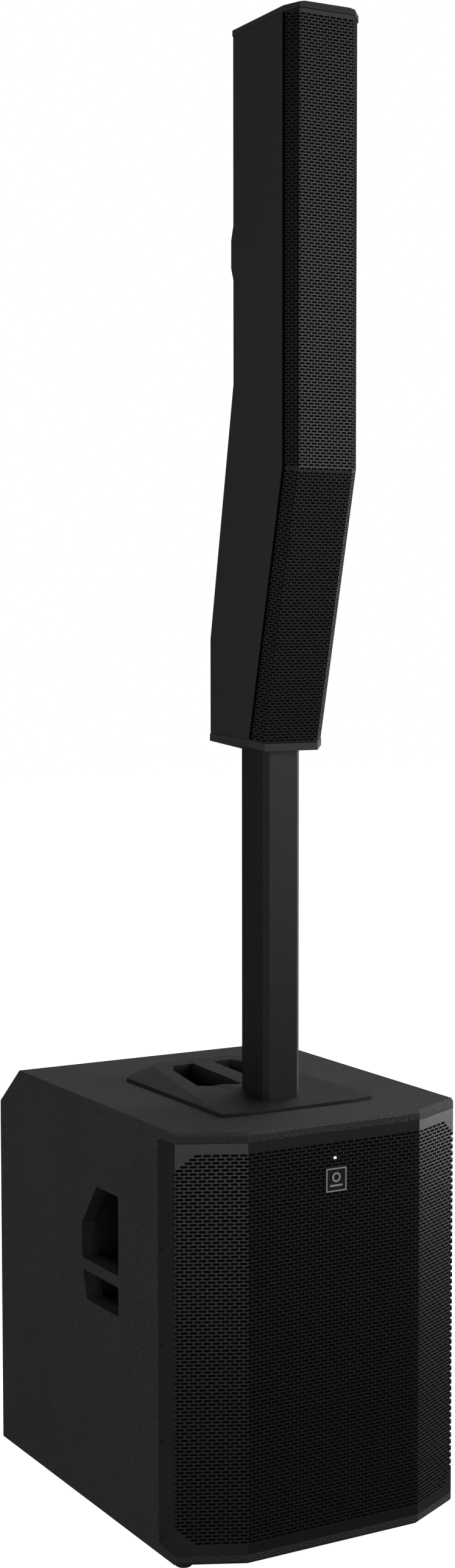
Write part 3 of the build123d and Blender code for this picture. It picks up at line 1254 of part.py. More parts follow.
with BuildPart() as mains_inlet:
    box_between(
        (INLET_LOW_X, PANEL_FACE_Y, INLET_Z - INLET_TALL / 2),
        (INLET_HIGH_X, PANEL_FACE_Y + 2.0, INLET_Z + INLET_TALL / 2),
    )
    fillet(mains_inlet.edges().filter_by(Axis.Y), radius=3.0)
    box_between(
        (INLET_LOW_X + 3.2, PANEL_FACE_Y - 26.0, INLET_Z - INLET_TALL / 2 + 3.2),
        (INLET_HIGH_X - 3.2, PANEL_FACE_Y, INLET_Z + INLET_TALL / 2 - 3.2),
    )
    cut_box(
        (INLET_X - 12.2, PANEL_FACE_Y - 17.0, INLET_Z - 8.4),
        (INLET_X + 12.2, PANEL_FACE_Y + 2.0, INLET_Z + 8.4),
    )
    for x, z in ((-7.0, -2.0), (0.0, 2.0), (7.0, -2.0)):
        box_between(
            (INLET_X + x - 1.0, PANEL_FACE_Y - 17.0, INLET_Z + z - 2.0),
            (INLET_X + x + 1.0, PANEL_FACE_Y - 3.5, INLET_Z + z + 2.0),
        )
    cut_box(
        (ROCKER_X - 10.6, PANEL_FACE_Y - 12.0, INLET_Z - 7.0),
        (ROCKER_X + 10.6, PANEL_FACE_Y + 2.0, INLET_Z + 7.0),
    )
mains_inlet.part.label = "mains_inlet"
export_step(mains_inlet.part, "parts/mains_inlet.step")

ROCKER_PIVOT_Y = PANEL_FACE_Y - 1.5
ROCKER_TILT = 10.0


def swung(x, y, degrees):
    """A plan point of the rocker, turned about its pivot."""
    turn = radians(degrees)
    return (
        ROCKER_X + x * cos(turn) - y * sin(turn),
        ROCKER_PIVOT_Y + x * sin(turn) + y * cos(turn),
    )


with BuildPart() as power_rocker:
    outline = [(-9.0, -4.0), (0.0, -6.0), (9.0, -4.0), (9.4, 5.0), (0.0, 3.6), (-9.4, 5.0)]
    with BuildSketch(Plane.XY.offset(INLET_Z - 6.5)):
        Polygon(*[swung(x, y, -ROCKER_TILT) for x, y in outline], align=None)
    extrude(amount=13.0)
power_rocker.part.label = "power_rocker"
export_step(power_rocker.part, "parts/power_rocker.step")

with BuildPart() as input_jacks:
    for x in INPUT_XS:
        with BuildSketch(PANEL_PLANE):
            with Locations((-x, JACK_ROW_Z)):
                RectangleRounded(26.0, 31.0, 3.0)
        extrude(amount=2.0)
        round_bar((x, PANEL_FACE_Y, JACK_ROW_Z), BACKWARD, 12.0, -30.0, 0.0)
        keyway_ring = [(7.4, -11.0), (9.6, -11.0), (9.6, 2.0), (7.4, 2.0)]
        with BuildSketch(turning_plane((x, PANEL_FACE_Y, JACK_ROW_Z), BACKWARD)):
            Polygon(*keyway_ring, align=None)
        revolve(axis=Axis((x, PANEL_FACE_Y, JACK_ROW_Z), BACKWARD), mode=Mode.SUBTRACT)
        round_bar((x, PANEL_FACE_Y, JACK_ROW_Z), BACKWARD, 3.25, -26.0, 2.0, mode=Mode.SUBTRACT)
        for angle in (0.0, 120.0, 240.0):
            pin_x = x + 5.4 * cos(radians(angle + 90.0))
            pin_z = JACK_ROW_Z + 5.4 * sin(radians(angle + 90.0))
            round_bar((pin_x, PANEL_FACE_Y, pin_z), BACKWARD, 1.2, -10.0, 2.0, mode=Mode.SUBTRACT)
input_jacks.part.label = "input_jacks"
export_step(input_jacks.part, "parts/input_jacks.step")

with BuildPart() as output_jack:
    with BuildSketch(PANEL_PLANE):
        with Locations((-OUTPUT_X, JACK_ROW_Z)):
            RectangleRounded(26.0, 31.0, 3.0)
    extrude(amount=2.0)
    round_bar((OUTPUT_X, PANEL_FACE_Y, JACK_ROW_Z), BACKWARD, 12.0, -20.0, 0.0)
    round_bar((OUTPUT_X, PANEL_FACE_Y, JACK_ROW_Z), BACKWARD, 9.6, -16.0, 2.0, mode=Mode.SUBTRACT)
    for angle in (0.0, 120.0, 240.0):
        pin_x = OUTPUT_X + 5.2 * cos(radians(angle + 30.0))
        pin_z = JACK_ROW_Z + 5.2 * sin(radians(angle + 30.0))
        round_bar((pin_x, PANEL_FACE_Y, pin_z), BACKWARD, 1.2, -16.0, -3.5)
output_jack.part.label = "output_jack"
export_step(output_jack.part, "parts/output_jack.step")

with BuildPart() as display_window:
    box_between(
        (DISPLAY_X - DISPLAY_WIDE / 2 + 0.2, PANEL_FACE_Y - 4.0, CONTROL_ROW_Z - DISPLAY_TALL / 2 + 0.2),
        (DISPLAY_X + DISPLAY_WIDE / 2 - 0.2, PANEL_FACE_Y + 1.0, CONTROL_ROW_Z + DISPLAY_TALL / 2 - 0.2),
    )
    chamfer(display_window.faces().sort_by(Axis.Y)[-1].edges(), length=0.6)
display_window.part.label = "display_window"
export_step(display_window.part, "parts/display_window.step")


def ribbed_knob(x, radius, ribs):
    """A control knob over the panel, with grip grooves and a pointer groove."""
    centre = (x, PANEL_FACE_Y, CONTROL_ROW_Z)
    turned(
        centre, BACKWARD,
        [(0, 1.6), (radius, 1.6), (radius - 0.6, 9.4), (radius - 1.6, 10.4), (0, 10.4)],
    )
    for i in range(ribs):
        angle = radians(i * 360 / ribs)
        rib = (x + radius * cos(angle), PANEL_FACE_Y, CONTROL_ROW_Z + radius * sin(angle))
        round_bar(rib, BACKWARD, 0.8, 1.6, 10.4, mode=Mode.SUBTRACT)
    cut_box(
        (x - 0.5, PANEL_FACE_Y + 9.8, CONTROL_ROW_Z + radius * 0.35),
        (x + 0.5, PANEL_FACE_Y + 10.4, CONTROL_ROW_Z + radius),
    )


with BuildPart() as level_knob_left:
    ribbed_knob(INPUT_XS[0], 7.5, 12)
    round_bar((INPUT_XS[0], PANEL_FACE_Y, CONTROL_ROW_Z), BACKWARD, 3.0, -8.0, 1.6)
level_knob_left.part.label = "level_knob_left"
export_step(level_knob_left.part, "parts/level_knob_left.step")

with BuildPart() as level_knob_right:
    ribbed_knob(INPUT_XS[1], 7.5, 12)
    round_bar((INPUT_XS[1], PANEL_FACE_Y, CONTROL_ROW_Z), BACKWARD, 3.0, -8.0, 1.6)
level_knob_right.part.label = "level_knob_right"
export_step(level_knob_right.part, "parts/level_knob_right.step")

with BuildPart() as encoder_stem:
    turned(
        (ENCODER_X, PANEL_FACE_Y, CONTROL_ROW_Z), BACKWARD,
        [(0, -14.0), (5.0, -14.0), (5.0, -6.0), (3.0, -6.0), (3.0, 6.0), (0, 6.0)],
    )
encoder_stem.part.label = "encoder_stem"
export_step(encoder_stem.part, "parts/encoder_stem.step")

with BuildPart() as encoder_knob:
    ribbed_knob(ENCODER_X, 11.0, 18)
    round_bar((ENCODER_X, PANEL_FACE_Y, CONTROL_ROW_Z), BACKWARD, 3.05, 1.6, 6.4, mode=Mode.SUBTRACT)
encoder_knob.part.label = "encoder_knob"
export_step(encoder_knob.part, "parts/encoder_knob.step")
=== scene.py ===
"""Looks for the column loudspeaker: materials, perforated grilles, small trim, floor, lights and camera."""

import math

import bpy
from mathutils import Matrix, Vector


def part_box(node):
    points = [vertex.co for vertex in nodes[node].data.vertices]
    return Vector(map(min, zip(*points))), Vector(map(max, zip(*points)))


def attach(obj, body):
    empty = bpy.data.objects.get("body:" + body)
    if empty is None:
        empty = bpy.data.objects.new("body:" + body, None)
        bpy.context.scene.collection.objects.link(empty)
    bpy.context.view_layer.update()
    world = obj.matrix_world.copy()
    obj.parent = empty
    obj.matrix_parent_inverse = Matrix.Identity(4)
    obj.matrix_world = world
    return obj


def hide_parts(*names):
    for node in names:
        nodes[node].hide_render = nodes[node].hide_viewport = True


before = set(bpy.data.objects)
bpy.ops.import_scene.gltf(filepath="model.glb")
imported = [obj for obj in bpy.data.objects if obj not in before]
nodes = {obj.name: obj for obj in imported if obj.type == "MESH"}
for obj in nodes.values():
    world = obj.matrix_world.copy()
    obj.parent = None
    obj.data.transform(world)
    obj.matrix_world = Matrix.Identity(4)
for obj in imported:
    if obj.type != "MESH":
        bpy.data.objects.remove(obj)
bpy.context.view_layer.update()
MM = 0.001

# ---------------------------------------------------------------- camera
# Metres, radians and millimetres of lens.
CAMERA_AT = (-1.62973, -2.85699, 1.27816)
CAMERA_YAW = -0.519692
CAMERA_PITCH = -0.072292
CAMERA_ROLL = -0.001127
LENS_MM = 51.946
SENSOR_MM = 36.0


def make_camera():
    """The photograph's viewpoint."""
    data = bpy.data.cameras.new("camera")
    data.lens = LENS_MM
    data.sensor_width = SENSOR_MM
    camera = bpy.data.objects.new("camera", data)
    turn = (
        Matrix.Rotation(CAMERA_YAW, 4, "Z")
        @ Matrix.Rotation(math.pi / 2 + CAMERA_PITCH, 4, "X")
        @ Matrix.Rotation(CAMERA_ROLL, 4, "Z")
    )
    camera.matrix_world = Matrix.Translation(CAMERA_AT) @ turn
    bpy.context.scene.collection.objects.link(camera)
    bpy.context.scene.camera = camera


make_camera()


# ---------------------------------------------------------------- node helpers
class Shader:
    """A material's node tree, with short ways to add and join nodes."""

    def __init__(self, name):
        self.material = bpy.data.materials.new(name)
        self.material.use_nodes = True
        self.tree = self.material.node_tree
        self.main = self.tree.nodes["Principled BSDF"]
        self.where = self.add("ShaderNodeTexCoord").outputs["Object"]

    def add(self, kind, **values):
        node = self.tree.nodes.new(kind)
        for key, value in values.items():
            setattr(node, key, value)
        return node

    def join(self, source, target):
        self.tree.links.new(source, target)

    def noise(self, scale, detail=2.0, roughness=0.5, where=None):
        node = self.add("ShaderNodeTexNoise")
        node.inputs["Scale"].default_value = scale
        node.inputs["Detail"].default_value = detail
        node.inputs["Roughness"].default_value = roughness
        self.join(where or self.where, node.inputs["Vector"])
        return node.outputs["Fac"]

    def cells(self, scale):
        node = self.add("ShaderNodeTexVoronoi")
        node.inputs["Scale"].default_value = scale
        self.join(self.where, node.inputs["Vector"])
        return node.outputs["Distance"]

    def stretched(self, factors):
        node = self.add("ShaderNodeMapping")
        node.inputs["Scale"].default_value = factors
        self.join(self.where, node.inputs["Vector"])
        return node.outputs["Vector"]

    def spread(self, source, low, high, start=0.3, end=0.7):
        node = self.add("ShaderNodeMapRange")
        node.inputs["From Min"].default_value = start
        node.inputs["From Max"].default_value = end
        node.inputs["To Min"].default_value = low
        node.inputs["To Max"].default_value = high
        self.join(source, node.inputs["Value"])
        return node.outputs["Result"]

    def tint(self, source, dark, light, start=0.3, end=0.7):
        node = self.add("ShaderNodeValToRGB")
        node.color_ramp.elements[0].position = start
        node.color_ramp.elements[0].color = (*dark, 1.0)
        node.color_ramp.elements[1].position = end
        node.color_ramp.elements[1].color = (*light, 1.0)
        self.join(source, node.inputs["Fac"])
        return node.outputs["Color"]

    def bumps(self, layers, rounding=0.0):
        """Stacks bump layers of (height output, depth in metres, strength) over a rounded-edge normal."""
        normal = None
        if rounding:
            edge = self.add("ShaderNodeBevel", samples=4)
            edge.inputs["Radius"].default_value = rounding
            normal = edge.outputs["Normal"]
        for height, depth, strength in layers:
            node = self.add("ShaderNodeBump")
            node.inputs["Distance"].default_value = depth
            node.inputs["Strength"].default_value = strength
            self.join(height, node.inputs["Height"])
            if normal:
                self.join(normal, node.inputs["Normal"])
            normal = node.outputs["Normal"]
        self.join(normal, self.main.inputs["Normal"])

    def set(self, **values):
        for key, value in values.items():
            self.main.inputs[key.replace("_", " ")].default_value = value


def grey(value):
    """A neutral colour, linear."""
    return (value, value, value)


# Noise and cell scales are counts a metre; depths and edge roundings are metres.
BLOTCH_SCALE = 9.0
BLOTCH_SHARE = 0.15
FINE_SHARE = 0.85
FINE_TO_PEBBLE = 2.6
PEEL_SCALE = 900.0
PEEL_DEPTH = 0.00012
MOULD_SCALE = 1400.0
BRUSH_SCALE = 260.0
BRUSH_DEPTH = 0.00004
THREAD_DEPTH = 0.0003
RING_SCALE = 60.0
RING_DEPTH = 0.0002
LENS_SCALE = 700.0
LENS_DEPTH = 0.00005


def textured_paint(name, dark, light, grain, depth, rough, rounding, specular=0.5):
    """Black paint sprayed to a pebbled skin."""
    s = Shader(name)
    pebble = s.cells(grain)
    fine = s.noise(grain * FINE_TO_PEBBLE, detail=3.0)
    blotch = s.noise(BLOTCH_SCALE, detail=3.0)
    mixed = s.add("ShaderNodeMath", operation="MULTIPLY_ADD")
    s.join(blotch, mixed.inputs[0])
    mixed.inputs[1].default_value = BLOTCH_SHARE
    s.join(s.spread(fine, 0.0, FINE_SHARE), mixed.inputs[2])
    s.join(s.tint(mixed.outputs[0], dark, light, 0.2, 0.8), s.main.inputs["Base Color"])
    s.join(s.spread(fine, rough - 0.06, rough + 0.08), s.main.inputs["Roughness"])
    s.set(Specular_IOR_Level=specular)
    s.bumps([(pebble, depth, 0.9), (fine, depth * 0.5, 0.7)], rounding)
    return s.material


def powder_coat(name, value, rough, rounding, specular=0.5):
    """Smooth powder coat with a faint orange peel."""
    s = Shader(name)
    peel = s.noise(PEEL_SCALE)
    wide = s.noise(14.0)
    s.join(s.tint(wide, grey(value * 0.88), grey(value * 1.12)), s.main.inputs["Base Color"])
    s.join(s.spread(peel, rough - 0.04, rough + 0.05), s.main.inputs["Roughness"])
    s.set(Specular_IOR_Level=specular)
    s.bumps([(peel, PEEL_DEPTH, 0.6)], rounding)
    return s.material


def moulded_plastic(name, value, rough, rounding, depth=0.0001, specular=0.5):
    """Moulded plastic with a fine spark-eroded grain."""
    s = Shader(name)
    fine = s.noise(MOULD_SCALE, detail=3.0, roughness=0.6)
    wide = s.noise(22.0, detail=3.0)
    s.join(s.tint(wide, grey(value * 0.86), grey(value * 1.14)), s.main.inputs["Base Color"])
    s.join(s.spread(fine, rough - 0.07, rough + 0.08), s.main.inputs["Roughness"])
    s.set(Specular_IOR_Level=specular)
    s.bumps([(fine, depth, 0.8)], rounding)
    return s.material


def metal(name, color, rough, brushed=None):
    """Bare or plated metal; brushed stretches the grain along one axis."""
    s = Shader(name)
    where = s.stretched(brushed) if brushed else None
    grain = s.noise(BRUSH_SCALE, detail=4.0, roughness=0.7, where=where)
    dark = tuple(c * 0.8 for c in color)
    s.join(s.tint(grain, dark, color, 0.25, 0.75), s.main.inputs["Base Color"])
    s.join(s.spread(grain, rough - 0.06, rough + 0.1), s.main.inputs["Roughness"])
    s.set(Metallic=1.0)
    s.bumps([(grain, BRUSH_DEPTH, 0.5)])
    return s.material


def woven(name, dark, light, pitch):
    """A plain weave seen as crossing threads."""
    s = Shader(name)
    split = s.add("ShaderNodeSeparateXYZ")
    s.join(s.where, split.inputs[0])
    waves = []
    for axis in ("X", "Z"):
        turn = s.add("ShaderNodeMath", operation="MULTIPLY")
        s.join(split.outputs[axis], turn.inputs[0])
        turn.inputs[1].default_value = 2 * math.pi / pitch
        wave = s.add("ShaderNodeMath", operation="SINE")
        s.join(turn.outputs[0], wave.inputs[0])
        waves.append(wave.outputs[0])
    product = s.add("ShaderNodeMath", operation="MULTIPLY")
    s.join(waves[0], product.inputs[0])
    s.join(waves[1], product.inputs[1])
    threads = s.spread(product.outputs[0], 0.0, 1.0, -0.6, 0.6)
    s.join(s.tint(threads, dark, light, 0.15, 0.85), s.main.inputs["Base Color"])
    s.set(Roughness=0.85, Specular_IOR_Level=0.12)
    s.bumps([(threads, THREAD_DEPTH, 0.7)])
    return s.material


def mottled(name, dark, light, scale, rough, depth=0.0002, specular=0.5):
    """A plain material with colour patches and a little relief."""
    s = Shader(name)
    patch = s.noise(scale, detail=5.0, roughness=0.6)
    s.join(s.tint(patch, dark, light), s.main.inputs["Base Color"])
    s.join(s.spread(patch, rough - 0.08, rough + 0.08), s.main.inputs["Roughness"])
    s.set(Specular_IOR_Level=specular)
    s.bumps([(patch, depth, 0.6)])
    return s.material


def wood(name, dark, light):
    """Plywood with grain along X."""
    s = Shader(name)
    rings = s.noise(RING_SCALE, detail=6.0, roughness=0.6, where=s.stretched((0.08, 1.0, 1.0)))
    s.join(s.tint(rings, dark, light), s.main.inputs["Base Color"])
    s.set(Roughness=0.7)
    s.bumps([(rings, RING_DEPTH, 0.5)])
    return s.material


def glowing(name, color, strength):
    """A lit indicator lens with soft brighter patches."""
    s = Shader(name)
    soft = s.noise(LENS_SCALE, detail=1.0)
    s.join(s.tint(soft, tuple(c * 0.8 for c in color), color), s.main.inputs["Base Color"])
    s.join(s.spread(soft, strength * 0.85, strength), s.main.inputs["Emission Strength"])
    s.set(Emission_Color=(*color, 1.0), Roughness=0.25)
    s.bumps([(soft, LENS_DEPTH, 0.3)])
    return s.material


# ---------------------------------------------------------------- materials
LOOKS = {
    "cabinet": textured_paint("cabinet_paint", grey(0.009), grey(0.064), 430.0, 0.0014, 0.62, 0.0015,
                              specular=0.3),
    "shell": textured_paint("array_paint", grey(0.007), grey(0.017), 1100.0, 0.0002, 0.6, 0.0008),
    "grille": powder_coat("grille_coat", 0.0065, 0.4, 0.0004, specular=0.56),
    "cap": moulded_plastic("cap_plastic", 0.022, 0.5, 0.0006),
    "dock": moulded_plastic("dock_plastic", 0.0115, 0.5, 0.0012, specular=0.4),
    "cup": moulded_plastic("cup_plastic", 0.014, 0.62, 0.001),
    "part": moulded_plastic("small_part_plastic", 0.018, 0.45, 0.0003),
    "gloss": moulded_plastic("gloss_plastic", 0.012, 0.22, 0.0003, depth=0.00002),
    "pole": textured_paint("pole_paint", grey(0.001), grey(0.006), 1500.0, 0.00012, 0.38, 0.0008),
    "panel": powder_coat("panel_coat", 0.02, 0.4, 0.0004),
    "cloth": woven("grille_cloth", grey(0.0012), grey(0.008), 0.0018),
    # The foam colour is darkened to near black, past the real foam, as painted shade for the gap between
    # the array's shell and grille; it paints the baffle and the gap strips.
    "foam_and_shade": mottled("gap_shade_and_foam", grey(0.001), grey(0.004), 900.0, 0.95, depth=0.0006, specular=0.1),
    "black_wood": wood("stained_ply", grey(0.006), grey(0.014)),
    "ply": wood("bare_ply", (0.42, 0.29, 0.16), (0.62, 0.47, 0.3)),
    "wadding": mottled("wadding", grey(0.42), grey(0.62), 220.0, 0.95, depth=0.002),
    "screw": metal("black_screw", grey(0.05), 0.4),
    "grille_screw": mottled("coated_screw", grey(0.005), grey(0.012), 900.0, 0.5, specular=0.3),
    "frame": mottled("cast_frame", grey(0.02), grey(0.035), 500.0, 0.5),
    "magnet": mottled("magnet_ferrite", grey(0.03), grey(0.055), 300.0, 0.55),
    "rubber": mottled("surround_rubber", grey(0.012), grey(0.02), 400.0, 0.6),
    "foot": mottled("foot_rubber", grey(0.006), grey(0.012), 500.0, 0.75),
    "spider": woven("spider_cloth", (0.3, 0.19, 0.06), (0.5, 0.34, 0.13), 0.0012),
    "paper": mottled("cone_paper", grey(0.012), grey(0.024), 350.0, 0.75, depth=0.0004),
    "coil": metal("copper_wire", (0.72, 0.36, 0.18), 0.35, brushed=(1.0, 14.0, 1.0)),
    "contact": metal("plated_contact", (0.8, 0.6, 0.26), 0.3),
    "board": mottled("circuit_board", (0.012, 0.07, 0.03), (0.02, 0.12, 0.05), 240.0, 0.45),
    "winding": metal("transformer_winding", (0.55, 0.25, 0.09), 0.45, brushed=(1.0, 12.0, 1.0)),
    "display": moulded_plastic("display_glass", 0.006, 0.12, 0.0003, depth=0.00001),
    "badge": moulded_plastic("badge_face", 0.012, 0.35, 0.0003, depth=0.00004),
    "badge_mark": mottled("badge_mark_coat", grey(0.42), grey(0.56), 700.0, 0.35, depth=0.00003),
    "print": mottled("panel_print", grey(0.5), grey(0.62), 900.0, 0.6, depth=0.00001),
    "led": glowing("led_lens", (0.95, 0.98, 1.0), 9.0),
}

NODE_LOOKS = {
    "left_side_panel": "cabinet", "right_side_panel": "cabinet", "top_panel": "cabinet",
    "bottom_panel": "cabinet", "rear_panel": "cabinet", "rear_slope_panel": "cabinet",
    "front_baffle": "black_wood", "window_brace": "ply", "absorber_mat": "wadding",
    "front_grille": "grille", "grille_mesh": "cloth", "grille_screws": "grille_screw",
    "badge_plate": "badge", "power_led": "led", "woofer_basket": "frame", "woofer_magnet": "magnet",
    "woofer_surround": "rubber", "woofer_spider": "spider", "woofer_screws": "screw",
    "port_tubes": "part", "left_handle_cup": "cup", "right_handle_cup": "cup",
    "dock_plate": "dock", "dock_contacts": "contact", "rubber_feet": "foot", "foot_screws": "screw",
    "amp_panel": "panel", "amp_screws": "screw", "amp_board": "board", "power_transformer": "winding",
    "mains_inlet": "gloss", "input_jacks": "part", "output_jack": "part", "display_window": "display",
    "woofer_cone": "paper", "woofer_dust_cap": "paper", "woofer_voice_coil": "coil",
    "power_rocker": "gloss", "encoder_stem": "screw", "encoder_knob": "part",
    "level_knob_left": "part", "level_knob_right": "part",
    "pole_tube": "pole", "pole_plugs": "part", "pole_contacts": "contact",
    "array_shell": "shell", "array_top_cap": "cap", "array_bottom_cap": "cap",
    "array_grille": "grille", "array_mesh": "cloth", "array_baffle": "foam_and_shade",
    "array_driver_baskets": "frame", "array_driver_magnets": "magnet",
    "array_driver_surrounds": "rubber", "array_driver_screws": "screw",
    "array_socket": "part", "array_contacts": "contact", "array_filter_board": "board",
    "array_upper_cones": "paper", "array_lower_cones": "paper",
}


def paint(piece, look):
    piece.data.materials.clear()
    piece.data.materials.append(LOOKS[look])


for node_name, look_name in NODE_LOOKS.items():
    paint(nodes[node_name], look_name)


def finished(name, mesh, look, body, replaced=()):
    """Links a new piece, paints it, sets what it rides on, and hides the parts it replaces."""
    piece = bpy.data.objects.new(name, mesh)
    bpy.context.scene.collection.objects.link(piece)
    paint(piece, look)
    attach(piece, body)
    if replaced:
        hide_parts(*replaced)
    return piece


# ---------------------------------------------------------------- perforated sheets
ARC_STEPS = 3
NEAR = 1e-3


class SlottedSheet:
    """A folded sheet with staggered slots, built as half cells between column and row lines.

    Columns are half a slot pitch wide, so a slot is centred on a column line, and each row is split
    along its middle, so a fold may run along any column line or through the middle of a row.
    """

    def __init__(self, place, slot_length, slot_height):
        self.place = place
        self.radius = slot_height / 2
        self.straight = slot_length / 2 - self.radius
        self.points = []
        self.index = {}
        self.faces = []

    def point(self, s, t):
        key = (round(s, 5), round(t, 5))
        if key not in self.index:
            self.index[key] = len(self.points)
            self.points.append(Vector(self.place(*key)) * MM)
        return self.index[key]

    def face(self, corners):
        area = 0.0
        for (s0, t0), (s1, t1) in zip(corners, corners[1:] + corners[:1]):
            area += s0 * t1 - s1 * t0
        if area < 0:
            corners = corners[::-1]
        self.faces.append([self.point(*c) for c in corners])

    def half_cell(self, s0, s1, middle, edge, side):
        """Half a row high: plain when side is 0, else with a quarter slot at the left or right line."""
        if side == 0:
            self.face([(s0, middle), (s1, middle), (s1, edge), (s0, edge)])
            return
        slot, web = (s0, s1) if side < 0 else (s1, s0)
        along = 1.0 if web > slot else -1.0
        up = 1.0 if edge > middle else -1.0
        rim = [(slot, middle + up * self.radius)]
        for i in range(ARC_STEPS + 1):
            angle = math.radians(90.0 - 90.0 * i / ARC_STEPS)
            rim.append((
                slot + along * (self.straight + self.radius * math.cos(angle)),
                middle + up * self.radius * math.sin(angle),
            ))
        self.face([(slot, edge), (web, edge), rim[1], rim[0]])
        for a, b in zip(rim[1:-2], rim[2:-1]):
            self.face([(web, edge), b, a])
        self.face([(web, edge), (web, middle), rim[-1], rim[-2]])

    def fill(self, columns, rows, side_of):
        """rows are (low, middle, high); side_of(row, column) says where a half cell's slot lies."""
        for i, (low, middle, high) in enumerate(rows):
            for j, (s0, s1) in enumerate(zip(columns, columns[1:])):
                side = side_of(i, j)
                self.half_cell(s0, s1, middle, high, side)
                self.half_cell(s0, s1, middle, low, side)

    def mesh(self, name):
        mesh = bpy.data.meshes.new(name)
        mesh.from_pydata(self.points, [], self.faces)
        mesh.validate()
        return mesh


def thicken(piece, sheet_mm):
    """Gives a one-sided sheet its thickness, behind its face."""
    thick = piece.modifiers.new("thickness", "SOLIDIFY")
    thick.thickness = sheet_mm * MM
    thick.offset = -1.0
    thick.use_even_offset = True


def along_plan(path, s):
    """The plan point at distance s along a folded line."""
    for (x0, y0), (x1, y1) in zip(path, path[1:]):
        length = math.hypot(x1 - x0, y1 - y0)
        if s <= length + 1e-4:
            part = s / length
            return x0 + (x1 - x0) * part, y0 + (y1 - y0) * part
        s -= length
    return path[-1]


def lines_between(start, end, count):
    return [start + (end - start) * i / count for i in range(1, count + 1)]


# Bass grille, in millimetres.
HALF_WIDTH = 225.0
FRONT_HALF = 137.5
FRONT_Y = -303.0
CORNER_Y = -260.0
FLANGE_END_Y = -212.0
BASS_PATH = [(-HALF_WIDTH, FLANGE_END_Y), (-HALF_WIDTH, CORNER_Y), (-FRONT_HALF, FRONT_Y),
             (FRONT_HALF, FRONT_Y), (HALF_WIDTH, CORNER_Y), (HALF_WIDTH, FLANGE_END_Y)]
BASS_LOW, BASS_HIGH = 25.8, 586.2
BASS_FIRST, BASS_LAST, BASS_ROWS = 42.35, 569.85, 109
BASS_SLOT = (10.4, 3.2)
BASS_SHEET = 1.5
FLANGE = FLANGE_END_Y - CORNER_Y
FLANGE_HALF_CELL = 6.0
FLANGE_BEVEL = 9.5
FACET = math.hypot(HALF_WIDTH - FRONT_HALF, CORNER_Y - FRONT_Y)
CENTRE = 2 * FRONT_HALF
FACET_CELLS = 16
CENTRE_CELLS = 46
FIRST_ROW_CELLS = 12
PLAIN_ROWS = 2                  # rows under the first slots
FLANGE_COLUMNS = 2              # columns before the first facet


def bass_columns():
    lines = [0.0, FLANGE - FLANGE_HALF_CELL, FLANGE]
    lines += lines_between(lines[-1], lines[-1] + FACET, FACET_CELLS)
    lines += lines_between(lines[-1], lines[-1] + CENTRE, CENTRE_CELLS)
    lines += lines_between(lines[-1], lines[-1] + FACET, FACET_CELLS)
    lines += [lines[-1] + FLANGE_HALF_CELL, lines[-1] + FLANGE]
    return lines


def bass_place(s, t):
    if abs(t - BASS_LOW) < NEAR or abs(t - BASS_HIGH) < NEAR:
        total = 2 * FLANGE + 2 * FACET + CENTRE
        s = min(max(s, FLANGE_BEVEL), total - FLANGE_BEVEL)
    x, y = along_plan(BASS_PATH, s)
    return x, y, t


def bass_rows():
    pitch = (BASS_LAST - BASS_FIRST) / (BASS_ROWS - 1)
    rows = []
    for i in range(BASS_ROWS):
        middle = BASS_FIRST + pitch * i
        rows.append((middle - pitch / 2, middle, middle + pitch / 2))
    low, high = BASS_LOW + FLANGE_BEVEL, BASS_HIGH - FLANGE_BEVEL
    below = [(BASS_LOW, (BASS_LOW + low) / 2, low), (low, (low + rows[0][0]) / 2, rows[0][0])]
    above = [(rows[-1][2], (rows[-1][2] + high) / 2, high), (high, (high + BASS_HIGH) / 2, BASS_HIGH)]
    return below + rows + above


def bass_side(row, column):
    """Slots sit on every other line; the outer corners of the pattern are cut off diagonally."""
    row -= PLAIN_ROWS
    if not 0 <= row < BASS_ROWS:
        return 0
    cell = column - FLANGE_COLUMNS
    total = 2 * FACET_CELLS + CENTRE_CELLS
    from_fold = max(FACET_CELLS - 1 - cell, cell - (total - FACET_CELLS))
    limit = min(FIRST_ROW_CELLS + min(row, BASS_ROWS - 1 - row), FACET_CELLS + 1)
    if from_fold >= limit or (row % 2 == 0 and from_fold >= FACET_CELLS):
        return 0
    return 1 if (cell + row) % 2 == 0 else -1


def make_bass_grille():
    sheet = SlottedSheet(bass_place, *BASS_SLOT)
    sheet.fill(bass_columns(), bass_rows(), bass_side)
    piece = finished("bass_grille_sheet", sheet.mesh("bass_grille_sheet"), "grille", "cabinet",
                     ["front_grille"])
    thicken(piece, BASS_SHEET)


make_bass_grille()

CLOTH_BACK = 2.6
CLOTH_END_Y = -258.0
CLOTH_LOW, CLOTH_HIGH = 28.0, 584.0
CLOTH_STEP = 20.0
CLOTH_STEPS = 28
CLOTH_THICK = 0.6


def set_back(path, distance):
    """A folded line moved to its left side, mitred at the folds."""
    moved = []
    for i, (x, y) in enumerate(path):
        normals = []
        for (x0, y0), (x1, y1) in zip(path[max(i - 1, 0):i + 1], path[max(i, 1):i + 2]):
            length = math.hypot(x1 - x0, y1 - y0)
            normals.append((-(y1 - y0) / length, (x1 - x0) / length))
        nx = sum(n[0] for n in normals) / len(normals)
        ny = sum(n[1] for n in normals) / len(normals)
        stretch = distance / (nx * nx + ny * ny)
        moved.append((x + nx * stretch, y + ny * stretch))
    return moved


